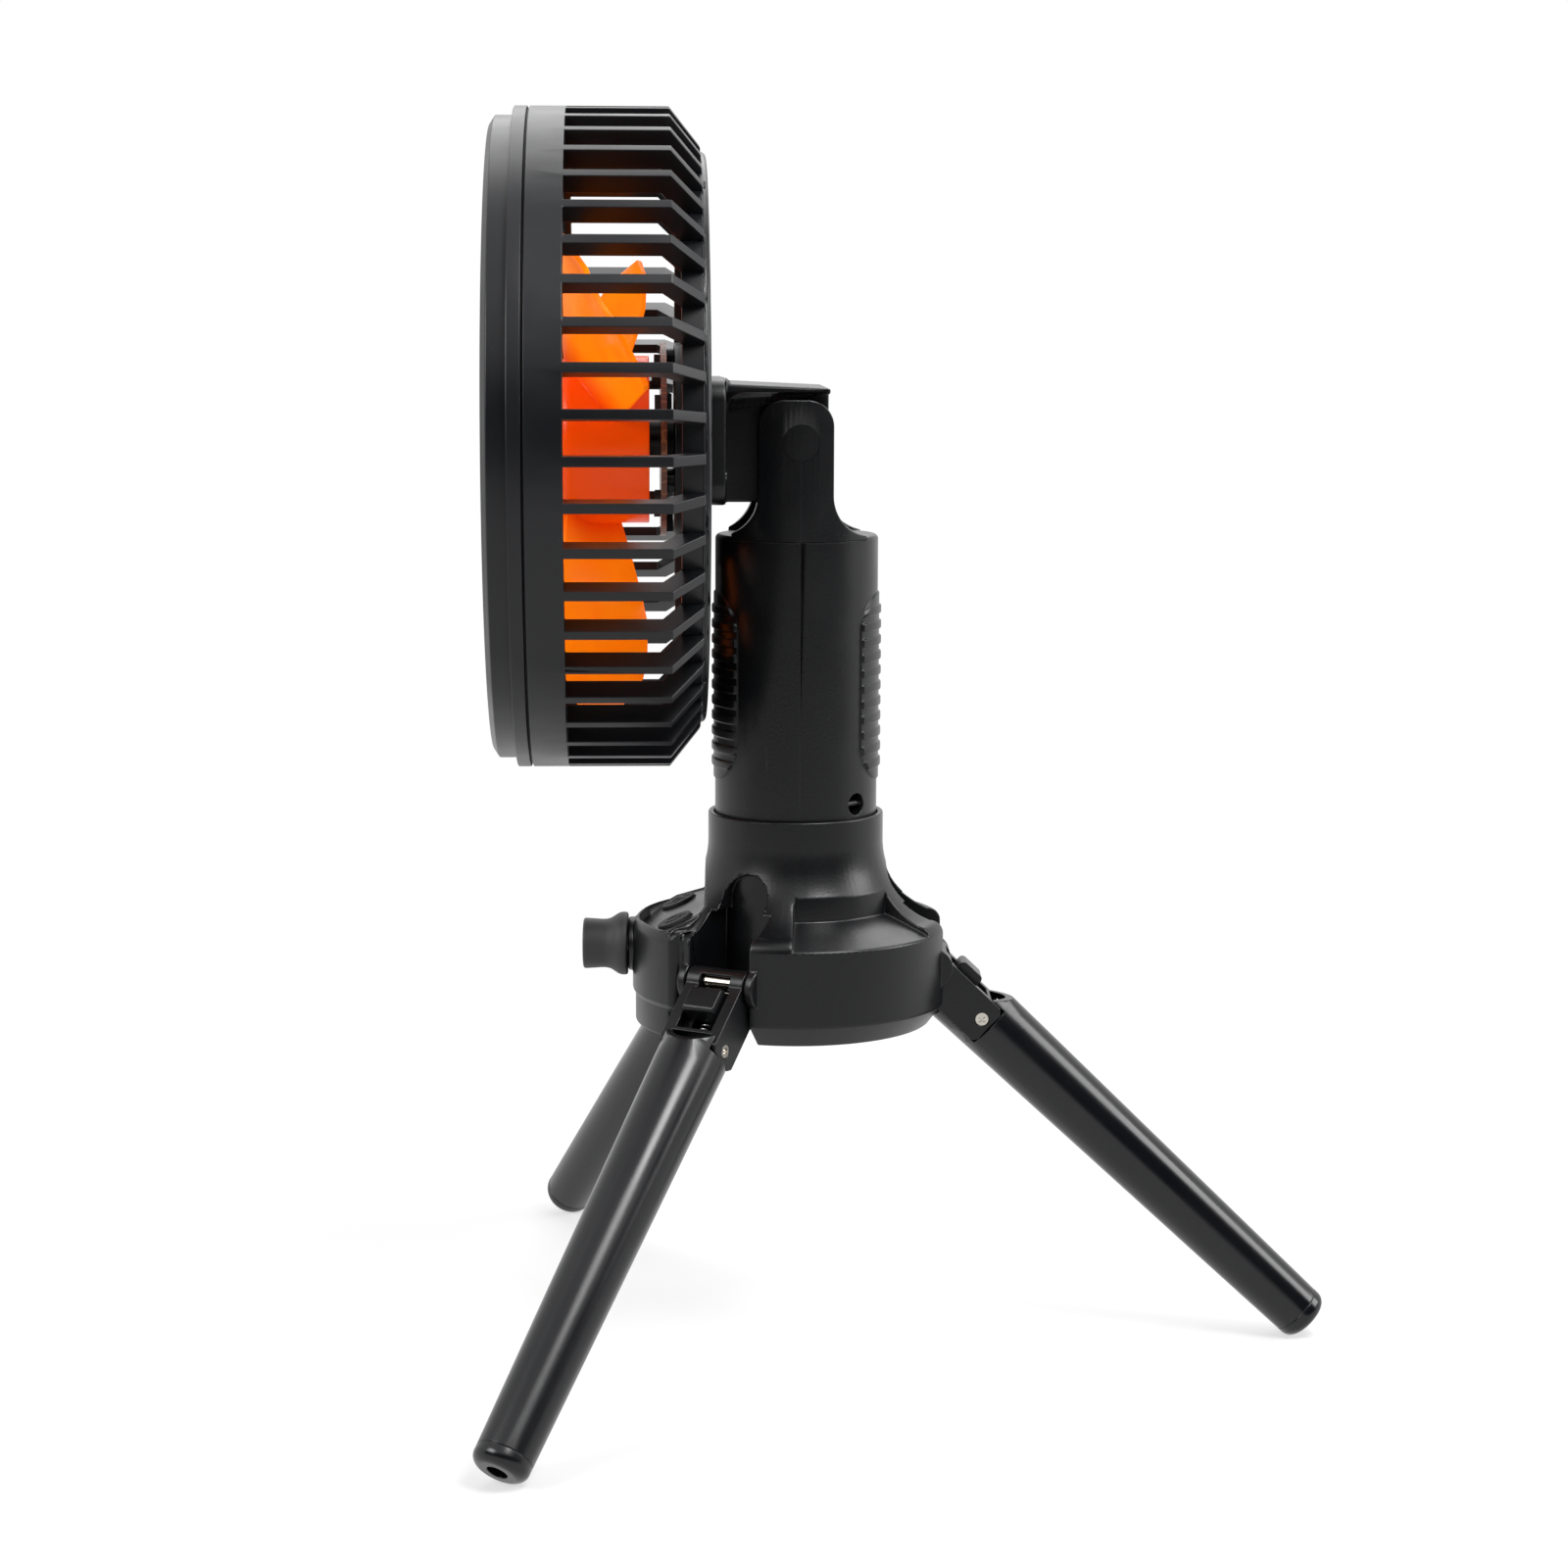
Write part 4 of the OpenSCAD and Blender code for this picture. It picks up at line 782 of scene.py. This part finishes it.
@dataclass(frozen=True)
class Easing:
    """Rounds the sharp edges on a copy of a CAD node's mesh."""

    edge_mm: float
    leave: Callable[[Vector], bool] | None = None
    sliver_mm: float = 0.02
    flat_deg: float = 0.8
    round_deg: float = 34.0
    crease_deg: float = 40.0
    overshoot: float = 0.9
    steps: int = 2

    def is_rounded(self, edge: bmesh.types.BMEdge) -> bool:
        """Tell whether an edge is sharp and isn't one that is left as it is.

        Args:
            edge: The edge.

        Returns:
            True where the edge gets a rounding.
        """
        if not edge.is_manifold or edge.calc_face_angle(0.0) <= math.radians(self.round_deg):
            return False
        return not (self.leave and all(self.leave(vert.co) for vert in edge.verts))

    def copy(self, node: str, name: str) -> bpy.types.Mesh:
        """Copy a CAD node's mesh and round its sharp edges.

        Args:
            node: The CAD node.
            name: The new mesh's name.

        Returns:
            The rounded mesh.
        """
        bm = bmesh.new()
        bm.from_mesh(frame["nodes"][node].data)
        bmesh.ops.remove_doubles(bm, verts=bm.verts, dist=WELD)
        bmesh.ops.dissolve_degenerate(bm, edges=bm.edges, dist=self.sliver_mm * MM)
        bmesh.ops.dissolve_limit(
            bm, angle_limit=math.radians(self.flat_deg), verts=bm.verts, edges=bm.edges
        )
        skin = BVHTree.FromBMesh(bm)
        bmesh.ops.bevel(
            bm,
            geom=[edge for edge in bm.edges if self.is_rounded(edge)],
            offset=self.edge_mm * MM,
            offset_type="OFFSET",
            segments=self.steps,
            profile=0.5,
            affect="EDGES",
            clamp_overlap=False,
            material=-1,
        )
        # Where two roundings cross in a tight corner a vertex can overshoot: it goes back.
        for vert in bm.verts:
            spot, _, _, gap = skin.find_nearest(vert.co)
            if gap > self.overshoot * self.edge_mm * MM:
                vert.co = spot
        return finish_mesh(bm, name, self.crease_deg)


# ---- Pieces ----


@dataclass
class SubAssembly:
    """A group of pieces, with the calls that place and dress them."""

    made: list[bpy.types.Object] = field(default_factory=list, init=False)

    def build(self) -> None:
        """Build the sub-assembly's pieces."""
        raise NotImplementedError

    def add(
        self,
        name: str,
        mesh: bpy.types.Mesh,
        body: str,
        slot: str,
        finish: Finish | None = None,
        replaced: Sequence[str] = (),
    ) -> bpy.types.Object:
        """Add a finished mesh to the model.

        Args:
            name: The piece's name.
            mesh: Its mesh, in the row frame.
            body: The CAD body that it moves with.
            slot: The record's material slot.
            finish: Its finish, or None for the one of its slot.
            replaced: The CAD nodes that it stands for.

        Returns:
            The new object.
        """
        obj = put_in_scene(name, mesh)
        mesh.materials.clear()
        mesh.materials.append((finish or FINISH_OF[slot]).material())
        even = obj.modifiers.new("Even shading", "WEIGHTED_NORMAL")
        even.keep_sharp = True
        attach(obj, body)
        if replaced:
            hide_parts(*replaced)
        self.made.append(obj)
        return obj

    def ease(
        self,
        node: str,
        edge_mm: float,
        finish: Finish | None = None,
        leave: Callable[[Vector], bool] | None = None,
    ) -> bpy.types.Object:
        """Stand a softened copy in for a CAD node.

        Args:
            node: The CAD node.
            edge_mm: Width of its rounded edges, in millimetres.
            finish: The copy's finish, or None for the one of its slot.
            leave: Tells of a point whether the edges there stay as they are.

        Returns:
            The new object.
        """
        name = f"{node}.skin"
        mesh = Easing(edge_mm, leave).copy(node, name)
        return self.add(name, mesh, BODY_OF[node], SLOT_OF[node], finish, [node])

    def dress(self, nodes: Iterable[str], finish: Finish | None = None) -> None:
        """Give CAD nodes that stay their finish.

        Args:
            nodes: The CAD nodes.
            finish: Their finish, or None for the one of their slot.
        """
        for node in nodes:
            obj = frame["nodes"][node]
            obj.data.materials.clear()
            obj.data.materials.append((finish or FINISH_OF[SLOT_OF[node]]).material())
            self.made.append(obj)

    def report(self) -> None:
        """Log each piece of the sub-assembly."""
        for obj in self.made:
            LOG.info("%s: %s, %d faces", type(self).__name__, obj.name, len(obj.data.polygons))


@dataclass
class Head(SubAssembly):
    """Cage, guard and rear cover, with the block that carries them on the tilt pin."""

    rib_edge_mm: float = 0.25
    block_edge_mm: float = 0.7

    def build(self) -> None:
        """Build the head's mouldings and dress its screws."""
        for node in ("rear_cage", "front_guard", "guard_cap"):
            self.ease(node, self.rib_edge_mm, CAGE_ABS)
        self.ease("rear_cover", self.rib_edge_mm)
        self.ease("neck_block", self.block_edge_mm)
        self.dress(["cover_screws", "neck_screws"])


@dataclass
class Motor(SubAssembly):
    """The fixed and the turning parts of the motor."""

    edge_mm: float = 0.25

    def build(self) -> None:
        """Build the mount and dress the motor's parts."""
        self.ease("motor_mount", self.edge_mm)
        self.dress(["motor_board", "motor_parts", "stator_coils", "shaft_bearings"])
        self.dress(["rotor_can", "rotor_magnet", "motor_shaft"])
        self.dress(["stator_core"], STAMPED_SHEETS)


@dataclass
class Impeller(SubAssembly):
    """Hub and twisted blades in one moulding."""

    tip_mm: float = 0.3

    def build(self) -> None:
        """Build the impeller."""
        self.ease("impeller", self.tip_mm)


@dataclass
class Handle(SubAssembly):
    """Two shells with the fork, its pin and the cells inside."""

    edge_mm: float = 0.3
    cap_reach_mm: float = 6.0
    seam_mm: float = 0.3

    def fits_closely(self, point: Vector) -> bool:
        """Tell whether a point lies on the shells' seam or round a tilt cap.

        Args:
            point: The point.

        Returns:
            True where the edges stay as they are.
        """
        tilt = Vector(JOINT_OF["head_tilt"]["pos_m"])
        near = math.hypot(point.y - tilt.y, point.z - tilt.z) < self.cap_reach_mm * MM
        return near or abs(point.y) < self.seam_mm * MM

    def build(self) -> None:
        """Build the shells and dress what they hold."""
        self.ease("handle_front", self.edge_mm, leave=self.fits_closely)
        self.ease("handle_rear", self.edge_mm, leave=self.fits_closely)
        self.dress(["tilt_caps", "handle_screws", "tilt_pin", "tilt_washers"])
        self.dress(["battery_cells", "battery_cradle"])


@dataclass
class Hub(SubAssembly):
    """The lobed root with its cover and hinge pins."""

    edge_mm: float = 0.5
    pocket_mm: float = 11.0
    ledge_mm: float = 3.2
    ledge_reach_mm: float = 24.0
    ledge_play_mm: float = 0.2

    def under_buttons(self, point: Vector) -> bool:
        """Tell whether a point lies in the buttons' pockets or on the ledge round them.

        Args:
            point: The point.

        Returns:
            True where the edges stay as they are.
        """
        for name in ("power_press", "light_press"):
            gap = point - Vector(JOINT_OF[name]["pos_m"])
            axis = Vector(JOINT_OF[name]["axis"]).normalized()
            deep = gap.dot(axis)
            away = (gap - axis * deep).length
            on_ledge = abs(deep - self.ledge_mm * MM) < self.ledge_play_mm * MM
            if away < (self.ledge_reach_mm if on_ledge else self.pocket_mm) * MM:
                return True
        return False

    def build(self) -> None:
        """Build the hub and its cover and dress its metal."""
        self.ease("hub", self.edge_mm, leave=self.under_buttons)
        self.ease("bottom_cover", self.edge_mm)
        self.dress(["hub_screws"])
        self.dress(["hinge_pins", "hinge_sleeves"], POLISHED_STEEL)


@dataclass(frozen=True)
class Arc:
    """A raised arc of a sign, in millimetres and degrees."""

    radius_mm: float
    start: float
    sweep: float
    step: float = 12.0

    def build(self, bm: bmesh.types.BMesh, width: float, rise: float) -> None:
        """Add the arc on the XY plane, by spinning a small square.

        Args:
            bm: The bmesh that gets the arc.
            width: Width of the stroke.
            rise: Rise above the plane; it also sinks as far below.
        """
        ring = bmesh.ops.create_circle(bm, cap_ends=True, segments=4, radius=math.sqrt(0.5))
        verts = ring["verts"]
        bmesh.ops.rotate(bm, verts=verts, matrix=Matrix.Rotation(math.radians(45.0), 3, "Z"))
        bmesh.ops.scale(bm, verts=verts, vec=(width, 2.0 * rise, 1.0))
        bmesh.ops.rotate(bm, verts=verts, matrix=Matrix.Rotation(math.radians(90.0), 3, "X"))
        bmesh.ops.translate(bm, verts=verts, vec=(self.radius_mm * MM, 0.0, 0.0))
        turn = Matrix.Rotation(math.radians(self.start), 3, "Z")
        bmesh.ops.rotate(bm, verts=verts, matrix=turn)
        faces = dict.fromkeys(face for vert in verts for face in vert.link_faces)
        edges = dict.fromkeys(edge for vert in verts for edge in vert.link_edges)
        bmesh.ops.spin(
            bm,
            geom=[*verts, *edges, *faces],
            cent=ORIGIN,
            axis=UPRIGHT,
            angle=math.radians(self.sweep),
            steps=round(self.sweep / self.step),
        )


@dataclass(frozen=True)
class Bar:
    """A raised bar of a sign, in millimetres."""

    start_mm: tuple[float, float]
    end_mm: tuple[float, float]

    @classmethod
    def ray(cls, turn: float, inner_mm: float = 2.0, outer_mm: float = 2.6) -> "Bar":
        """Make a bar that points away from the sign's middle.

        Args:
            turn: Its angle from the X axis, in degrees.
            inner_mm: Distance of its near end.
            outer_mm: Distance of its far end.

        Returns:
            The bar.
        """
        across, up = math.cos(math.radians(turn)), math.sin(math.radians(turn))
        return cls((inner_mm * across, inner_mm * up), (outer_mm * across, outer_mm * up))

    def build(self, bm: bmesh.types.BMesh, width: float, rise: float) -> None:
        """Add the bar on the XY plane.

        Args:
            bm: The bmesh that gets the bar.
            width: Width of the bar.
            rise: Rise above the plane; it also sinks as far below.
        """
        start, end = (Vector((*spot, 0.0)) * MM for spot in (self.start_mm, self.end_mm))
        along = end - start
        turn = Matrix.Rotation(math.atan2(along.y, along.x), 4, "Z")
        size = Matrix.Diagonal((along.length + width, width, 2.0 * rise, 1.0))
        place = Matrix.Translation((start + end) / 2.0) @ turn @ size
        bar = bmesh.ops.create_cube(bm, size=1.0, matrix=place)
        edges = dict.fromkeys(edge for vert in bar["verts"] for edge in vert.link_edges)
        bmesh.ops.bevel(
            bm,
            geom=list(edges),
            offset=0.25 * width,
            offset_type="OFFSET",
            segments=2,
            profile=0.5,
            affect="EDGES",
            material=-1,
        )


class Sign(Enum):
    """The two generic signs on the buttons."""

    POWER = "power"
    LIGHT = "light"


# The power sign is a broken ring with a bar; the light sign is a lamp with five rays.
STROKES_OF = {
    Sign.POWER: (Arc(1.75, 125.0, 290.0), Bar((0.0, 0.7), (0.0, 2.3))),
    Sign.LIGHT: (
        Arc(1.15, -50.0, 280.0),
        Bar((-0.5, -1.45), (0.5, -1.45)),
        Bar((-0.3, -2.1), (0.3, -2.1)),
        *(Bar.ray(turn) for turn in (-10.0, 40.0, 90.0, 140.0, 190.0)),
    ),
}


@dataclass
class Controls(SubAssembly):
    """Panel, two push buttons and the speed knob."""

    panel_edge_mm: float = 0.2
    button_edge_mm: float = 0.25
    button_rise_mm: float = 1.0
    sign_rise_mm: float = 0.2
    sign_scale: float = 1.4
    stroke_mm: float = 0.42
    knob_steps: int = 96
    bore_mm: float = 8.0
    # Distance from the hub's axis and radius, from the knob's back to its grip.
    knob_outline_mm: tuple[tuple[float, float], ...] = (
        (47.2, 3.4), (47.2, 8.5), (47.35, 8.72), (47.7, 8.85), (48.6, 8.88), (49.4, 8.72),
        (50.1, 8.38), (50.8, 7.92), (51.5, 7.46), (52.2, 7.12), (53.0, 6.92), (53.8, 6.84),
        (54.8, 6.86), (56.2, 6.96), (57.8, 7.06), (58.9, 7.13), (59.3, 7.08), (59.55, 6.9),
        (59.68, 6.6), (59.7, 6.2), (59.62, 4.6), (59.6, 0.0),
    )

    def add_sign(self, sign: Sign) -> None:
        """Raise a generic sign on its button.

        Args:
            sign: Which sign.
        """
        bm = bmesh.new()
        rise = self.sign_rise_mm * MM / self.sign_scale
        for stroke in STROKES_OF[sign]:
            stroke.build(bm, self.stroke_mm * MM, rise)
        loose = [edge for edge in bm.edges if edge.is_boundary]
        bmesh.ops.holes_fill(bm, edges=loose, sides=4)
        bmesh.ops.recalc_face_normals(bm, faces=bm.faces)
        top = Matrix.Translation((0.0, 0.0, self.button_rise_mm * MM))
        on_button = joint_frame(f"{sign.value}_press", -1.0) @ top
        bm.transform(on_button @ Matrix.Scale(self.sign_scale, 4))
        name = f"{sign.value}_sign"
        self.add(name, finish_mesh(bm, name, crease=35.0), sign.value, "grip", SIGN_RUBBER)

    def add_knob(self) -> None:
        """Spin the knob from its outline and sink its bore."""
        bm = bmesh.new()
        verts = [
            bm.verts.new((radius * MM, 0.0, away * MM)) for away, radius in self.knob_outline_mm
        ]
        edges = [bm.edges.new(pair) for pair in zip(verts, verts[1:])]
        bmesh.ops.spin(
            bm,
            geom=verts + edges,
            cent=ORIGIN,
            axis=UPRIGHT,
            angle=math.tau,
            steps=self.knob_steps,
            use_merge=True,
        )
        bmesh.ops.remove_doubles(bm, verts=bm.verts, dist=WELD)
        rim = [edge for edge in bm.edges if edge.is_boundary]
        sleeve = bmesh.ops.extrude_edge_only(bm, edges=rim)
        deep = [item for item in sleeve["geom"] if isinstance(item, bmesh.types.BMVert)]
        bmesh.ops.translate(bm, verts=deep, vec=(0.0, 0.0, self.bore_mm * MM))
        end = [edge for edge in bm.edges if edge.is_boundary]
        bmesh.ops.contextual_create(bm, geom=end)
        bmesh.ops.recalc_face_normals(bm, faces=bm.faces)
        out = joint_frame("speed_turn", 1.0)
        reach = Vector(out.translation.xy).length
        bm.transform(out @ Matrix.Translation((0.0, 0.0, -reach)))
        mesh = finish_mesh(bm, "speed_knob.skin", crease=50.0)
        self.add("speed_knob.skin", mesh, "knob", "grip", KNOB_RUBBER, ["speed_knob"])

    def build(self) -> None:
        """Build the panel, buttons, signs and knob."""
        self.ease("button_panel", self.panel_edge_mm)
        self.ease("power_button", self.button_edge_mm)
        self.ease("light_button", self.button_edge_mm)
        self.add_sign(Sign.POWER)
        self.add_sign(Sign.LIGHT)
        self.add_knob()
        self.dress(["knob_spindle", "speed_dial", "switch_board", "button_switches"])


class Side(Enum):
    """Where a leg stands."""

    RIGHT = "right"
    LEFT = "left"
    REAR = "rear"


@dataclass
class Leg(SubAssembly):
    """One folding leg with its bracket, latch and foot."""

    side: Side = Side.RIGHT
    edge_mm: float = 0.25
    latch_edge_mm: float = 0.3
    spring_give_mm: float = 0.1

    def add_spring(self) -> None:
        """Copy the latch spring into a mesh of its own."""
        node = f"{self.side.value}_spring"
        bm = bmesh.new()
        bm.from_mesh(frame["nodes"][node].data)
        bmesh.ops.remove_doubles(bm, verts=bm.verts, dist=WELD)
        name = f"{node}.skin"
        mesh = finish_mesh(bm, name, crease=60.0)
        spring = self.add(name, mesh, BODY_OF[node], SLOT_OF[node], replaced=[node])
        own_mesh(spring)

    def build(self) -> None:
        """Build the leg's mouldings and spring and dress its screws."""
        side = self.side.value
        self.ease(f"{side}_bracket", self.edge_mm, CASE_ABS)
        self.ease(f"{side}_tube", self.edge_mm)
        self.ease(f"{side}_foot", self.edge_mm)
        self.ease(f"{side}_latch", self.latch_edge_mm)
        self.add_spring()
        self.dress([f"{side}_screws"])


# ---- Studio ----


@dataclass(frozen=True)
class SoftBox:
    """A square studio lamp that faces the object."""

    name: str
    spot: tuple[float, float, float]
    size: float
    power: float

    def build(self, aim: Vector) -> None:
        """Add the lamp.

        Args:
            aim: The point that it faces.
        """
        data = bpy.data.lights.new(self.name, "AREA")
        data.shape = "SQUARE"
        data.size = self.size
        data.energy = self.power
        lamp = put_in_scene(self.name, data)
        spot = Vector(self.spot)
        lamp.location = spot
        lamp.rotation_euler = (spot - aim).to_track_quat("Z", "Y").to_euler()


@dataclass
class Studio:
    """White floor, white surroundings, a dark side, soft lamps and the camera."""

    azimuth: float = -2.73
    elevation: float = 8.467
    roll: float = 0.211
    distance: float = 0.9201
    aim: tuple[float, float, float] = (0.0, -0.00329, 0.06665)
    focal_mm: float = 75.31
    sensor_mm: float = 36.0
    clip_start: float = 0.05
    ambient: float = 0.4
    floor_radius: float = 3.0
    floor_gap_mm: float = 0.05
    floor_grey: float = 0.85
    floor_near: float = 0.6
    fade_from: float = 0.18
    fade_to: float = 0.55
    curtain_grey: float = 0.02
    curtain_away: float = 1.5
    curtain_top: float = 0.9
    curtain_span: float = 150.0
    curtain_steps: int = 32
    lamp_aim: tuple[float, float, float] = (0.0, 0.0, 0.2)
    lamps: tuple[SoftBox, ...] = (
        SoftBox("Key", (0.55, 0.45, 1.1), 0.45, 12.0),
        SoftBox("Side", (0.6, -0.95, 0.75), 0.6, 10.0),
        SoftBox("Fill", (0.1, 1.1, 0.6), 0.6, 8.0),
        SoftBox("Top", (-0.7, 0.0, 1.1), 1.2, 11.0),
    )

    def build(self) -> None:
        """Build the whole studio."""
        self.light_world()
        self.lay_floor()
        self.hang_curtain()
        for box in self.lamps:
            box.build(Vector(self.lamp_aim))
        self.place_camera()

    def seen(self, tree: bpy.types.NodeTree) -> bpy.types.NodeSocket:
        """Tell rays that look at the background from those that light the object.

        Args:
            tree: The node tree of the background.

        Returns:
            1 for a camera, glossy or transmission ray and 0 for light.
        """
        path = add_node(tree, "ShaderNodeLightPath")
        first = add_node(
            tree,
            "ShaderNodeMath",
            {"operation": "MAXIMUM"},
            {0: path.outputs["Is Camera Ray"], 1: path.outputs["Is Glossy Ray"]},
        )
        both = add_node(
            tree,
            "ShaderNodeMath",
            {"operation": "MAXIMUM"},
            {0: first.outputs[0], 1: path.outputs["Is Transmission Ray"]},
        )
        return both.outputs[0]

    def light_world(self) -> None:
        """Make surroundings that are white to look at and soft as a light."""
        world = bpy.data.worlds.new("Studio")
        bpy.context.scene.world = world
        tree = empty_tree(world)
        strength = add_node(
            tree,
            "ShaderNodeMapRange",
            inputs={"Value": self.seen(tree), "To Min": self.ambient, "To Max": 1.0},
        )
        sky = add_node(
            tree,
            "ShaderNodeBackground",
            inputs={"Color": linear("#ffffff"), "Strength": strength.outputs[0]},
        )
        add_node(tree, "ShaderNodeOutputWorld", inputs={"Surface": sky.outputs[0]})

    def stand(
        self, name: str, bm: bmesh.types.BMesh, paint: bpy.types.Material
    ) -> bpy.types.Object:
        """Put a piece of the stage in the scene and free its bmesh.

        Args:
            name: The piece's name.
            bm: Its shape.
            paint: Its material.

        Returns:
            The new object.
        """
        mesh = bpy.data.meshes.new(name)
        bm.to_mesh(mesh)
        bm.free()
        mesh.materials.append(paint)
        obj = put_in_scene(name, mesh)
        return obj

    def floor_paint(self) -> bpy.types.Material:
        """Make the floor's paint: matt, and whiter to the eye further from the object.

        Returns:
            The paint.
        """
        paint = bpy.data.materials.new("White floor")
        tree = empty_tree(paint)
        place = add_node(tree, "ShaderNodeTexCoord")
        away = add_node(
            tree,
            "ShaderNodeVectorMath",
            {"operation": "LENGTH"},
            {0: place.outputs["Object"]},
        )
        fade = add_node(
            tree,
            "ShaderNodeMapRange",
            {"interpolation_type": "SMOOTHSTEP"},
            {
                "Value": away.outputs["Value"],
                "From Min": self.fade_from,
                "From Max": self.fade_to,
                "To Min": self.floor_near,
                "To Max": 1.0,
            },
        )
        shown = add_node(
            tree,
            "ShaderNodeMath",
            {"operation": "MULTIPLY"},
            {0: fade.outputs[0], 1: self.seen(tree)},
        )
        path = add_node(tree, "ShaderNodeLightPath")
        bright = add_node(
            tree,
            "ShaderNodeMath",
            {"operation": "MAXIMUM"},
            {0: shown.outputs[0], 1: path.outputs["Is Glossy Ray"]},
        )
        matt = add_node(tree, "ShaderNodeBsdfDiffuse", inputs={"Color": grey(self.floor_grey)})
        white = add_node(
            tree, "ShaderNodeEmission", inputs={"Color": linear("#ffffff"), "Strength": 1.0}
        )
        mixed = add_node(
            tree,
            "ShaderNodeMixShader",
            inputs={0: bright.outputs[0], 1: matt.outputs[0], 2: white.outputs[0]},
        )
        add_node(tree, "ShaderNodeOutputMaterial", inputs={"Surface": mixed.outputs[0]})
        return paint

    def lay_floor(self) -> None:
        """Lay a pale floor that keeps the shadows and fades to white."""
        bm = bmesh.new()
        bmesh.ops.create_circle(bm, cap_ends=True, segments=96, radius=self.floor_radius)
        level = CAD_BOX[0][2] - self.floor_gap_mm * MM
        bmesh.ops.translate(bm, verts=bm.verts, vec=(0.0, 0.0, level))
        self.stand("Floor", bm, self.floor_paint())

    def hang_curtain(self) -> None:
        """Hang a black curtain round the dark half of the room, for reflections only."""
        bm = bmesh.new()
        low = bm.verts.new((self.curtain_away, 0.0, CAD_BOX[0][2]))
        high = bm.verts.new((self.curtain_away, 0.0, self.curtain_top))
        turn = Matrix.Rotation(math.radians(-self.curtain_span / 2.0), 3, "Z")
        bmesh.ops.rotate(bm, verts=[low, high], matrix=turn)
        bmesh.ops.spin(
            bm,
            geom=[low, high, bm.edges.new((low, high))],
            cent=ORIGIN,
            axis=UPRIGHT,
            angle=math.radians(self.curtain_span),
            steps=self.curtain_steps,
        )
        cloth = bpy.data.materials.new("Black cloth")
        tree = empty_tree(cloth)
        matt = add_node(
            tree, "ShaderNodeBsdfDiffuse", inputs={"Color": grey(self.curtain_grey)}
        )
        add_node(tree, "ShaderNodeOutputMaterial", inputs={"Surface": matt.outputs[0]})
        curtain = self.stand("Curtain", bm, cloth)
        curtain.visible_camera = False
        curtain.visible_transmission = False

    def place_camera(self) -> None:
        """Place the camera on its azimuth, elevation and distance from the aim."""
        turn = math.radians(90.0 + self.azimuth)
        rise = math.radians(self.elevation)
        level = Vector((math.sin(turn), -math.cos(turn), 0.0)) * math.cos(rise)
        back = level + Vector(UPRIGHT) * math.sin(rise)
        right = (-back).cross(Vector(UPRIGHT)).normalized()
        up = back.cross(right)
        tilt = math.radians(self.roll)
        side = right * math.cos(tilt) + up * math.sin(tilt)
        top = up * math.cos(tilt) - right * math.sin(tilt)
        data = bpy.data.cameras.new("Camera")
        data.lens = self.focal_mm
        data.sensor_width = self.sensor_mm
        data.clip_start = self.clip_start
        camera = put_in_scene("Camera", data)
        spot = Vector(self.aim) + back * self.distance
        facing = Matrix((side, top, back)).transposed().to_4x4()
        camera.matrix_world = Matrix.Translation(spot) @ facing
        bpy.context.scene.camera = camera


def main() -> None:
    """Build each sub-assembly in order, then the studio."""
    bpy.context.scene.view_settings.view_transform = "Standard"
    parts: list[SubAssembly] = [
        Head(),
        Motor(),
        Impeller(),
        Handle(),
        Hub(),
        Controls(),
        *(Leg(side=side) for side in Side),
    ]
    for part in parts:
        part.build()
        part.report()
    Studio().build()


if __name__ == "__main__":
    main()
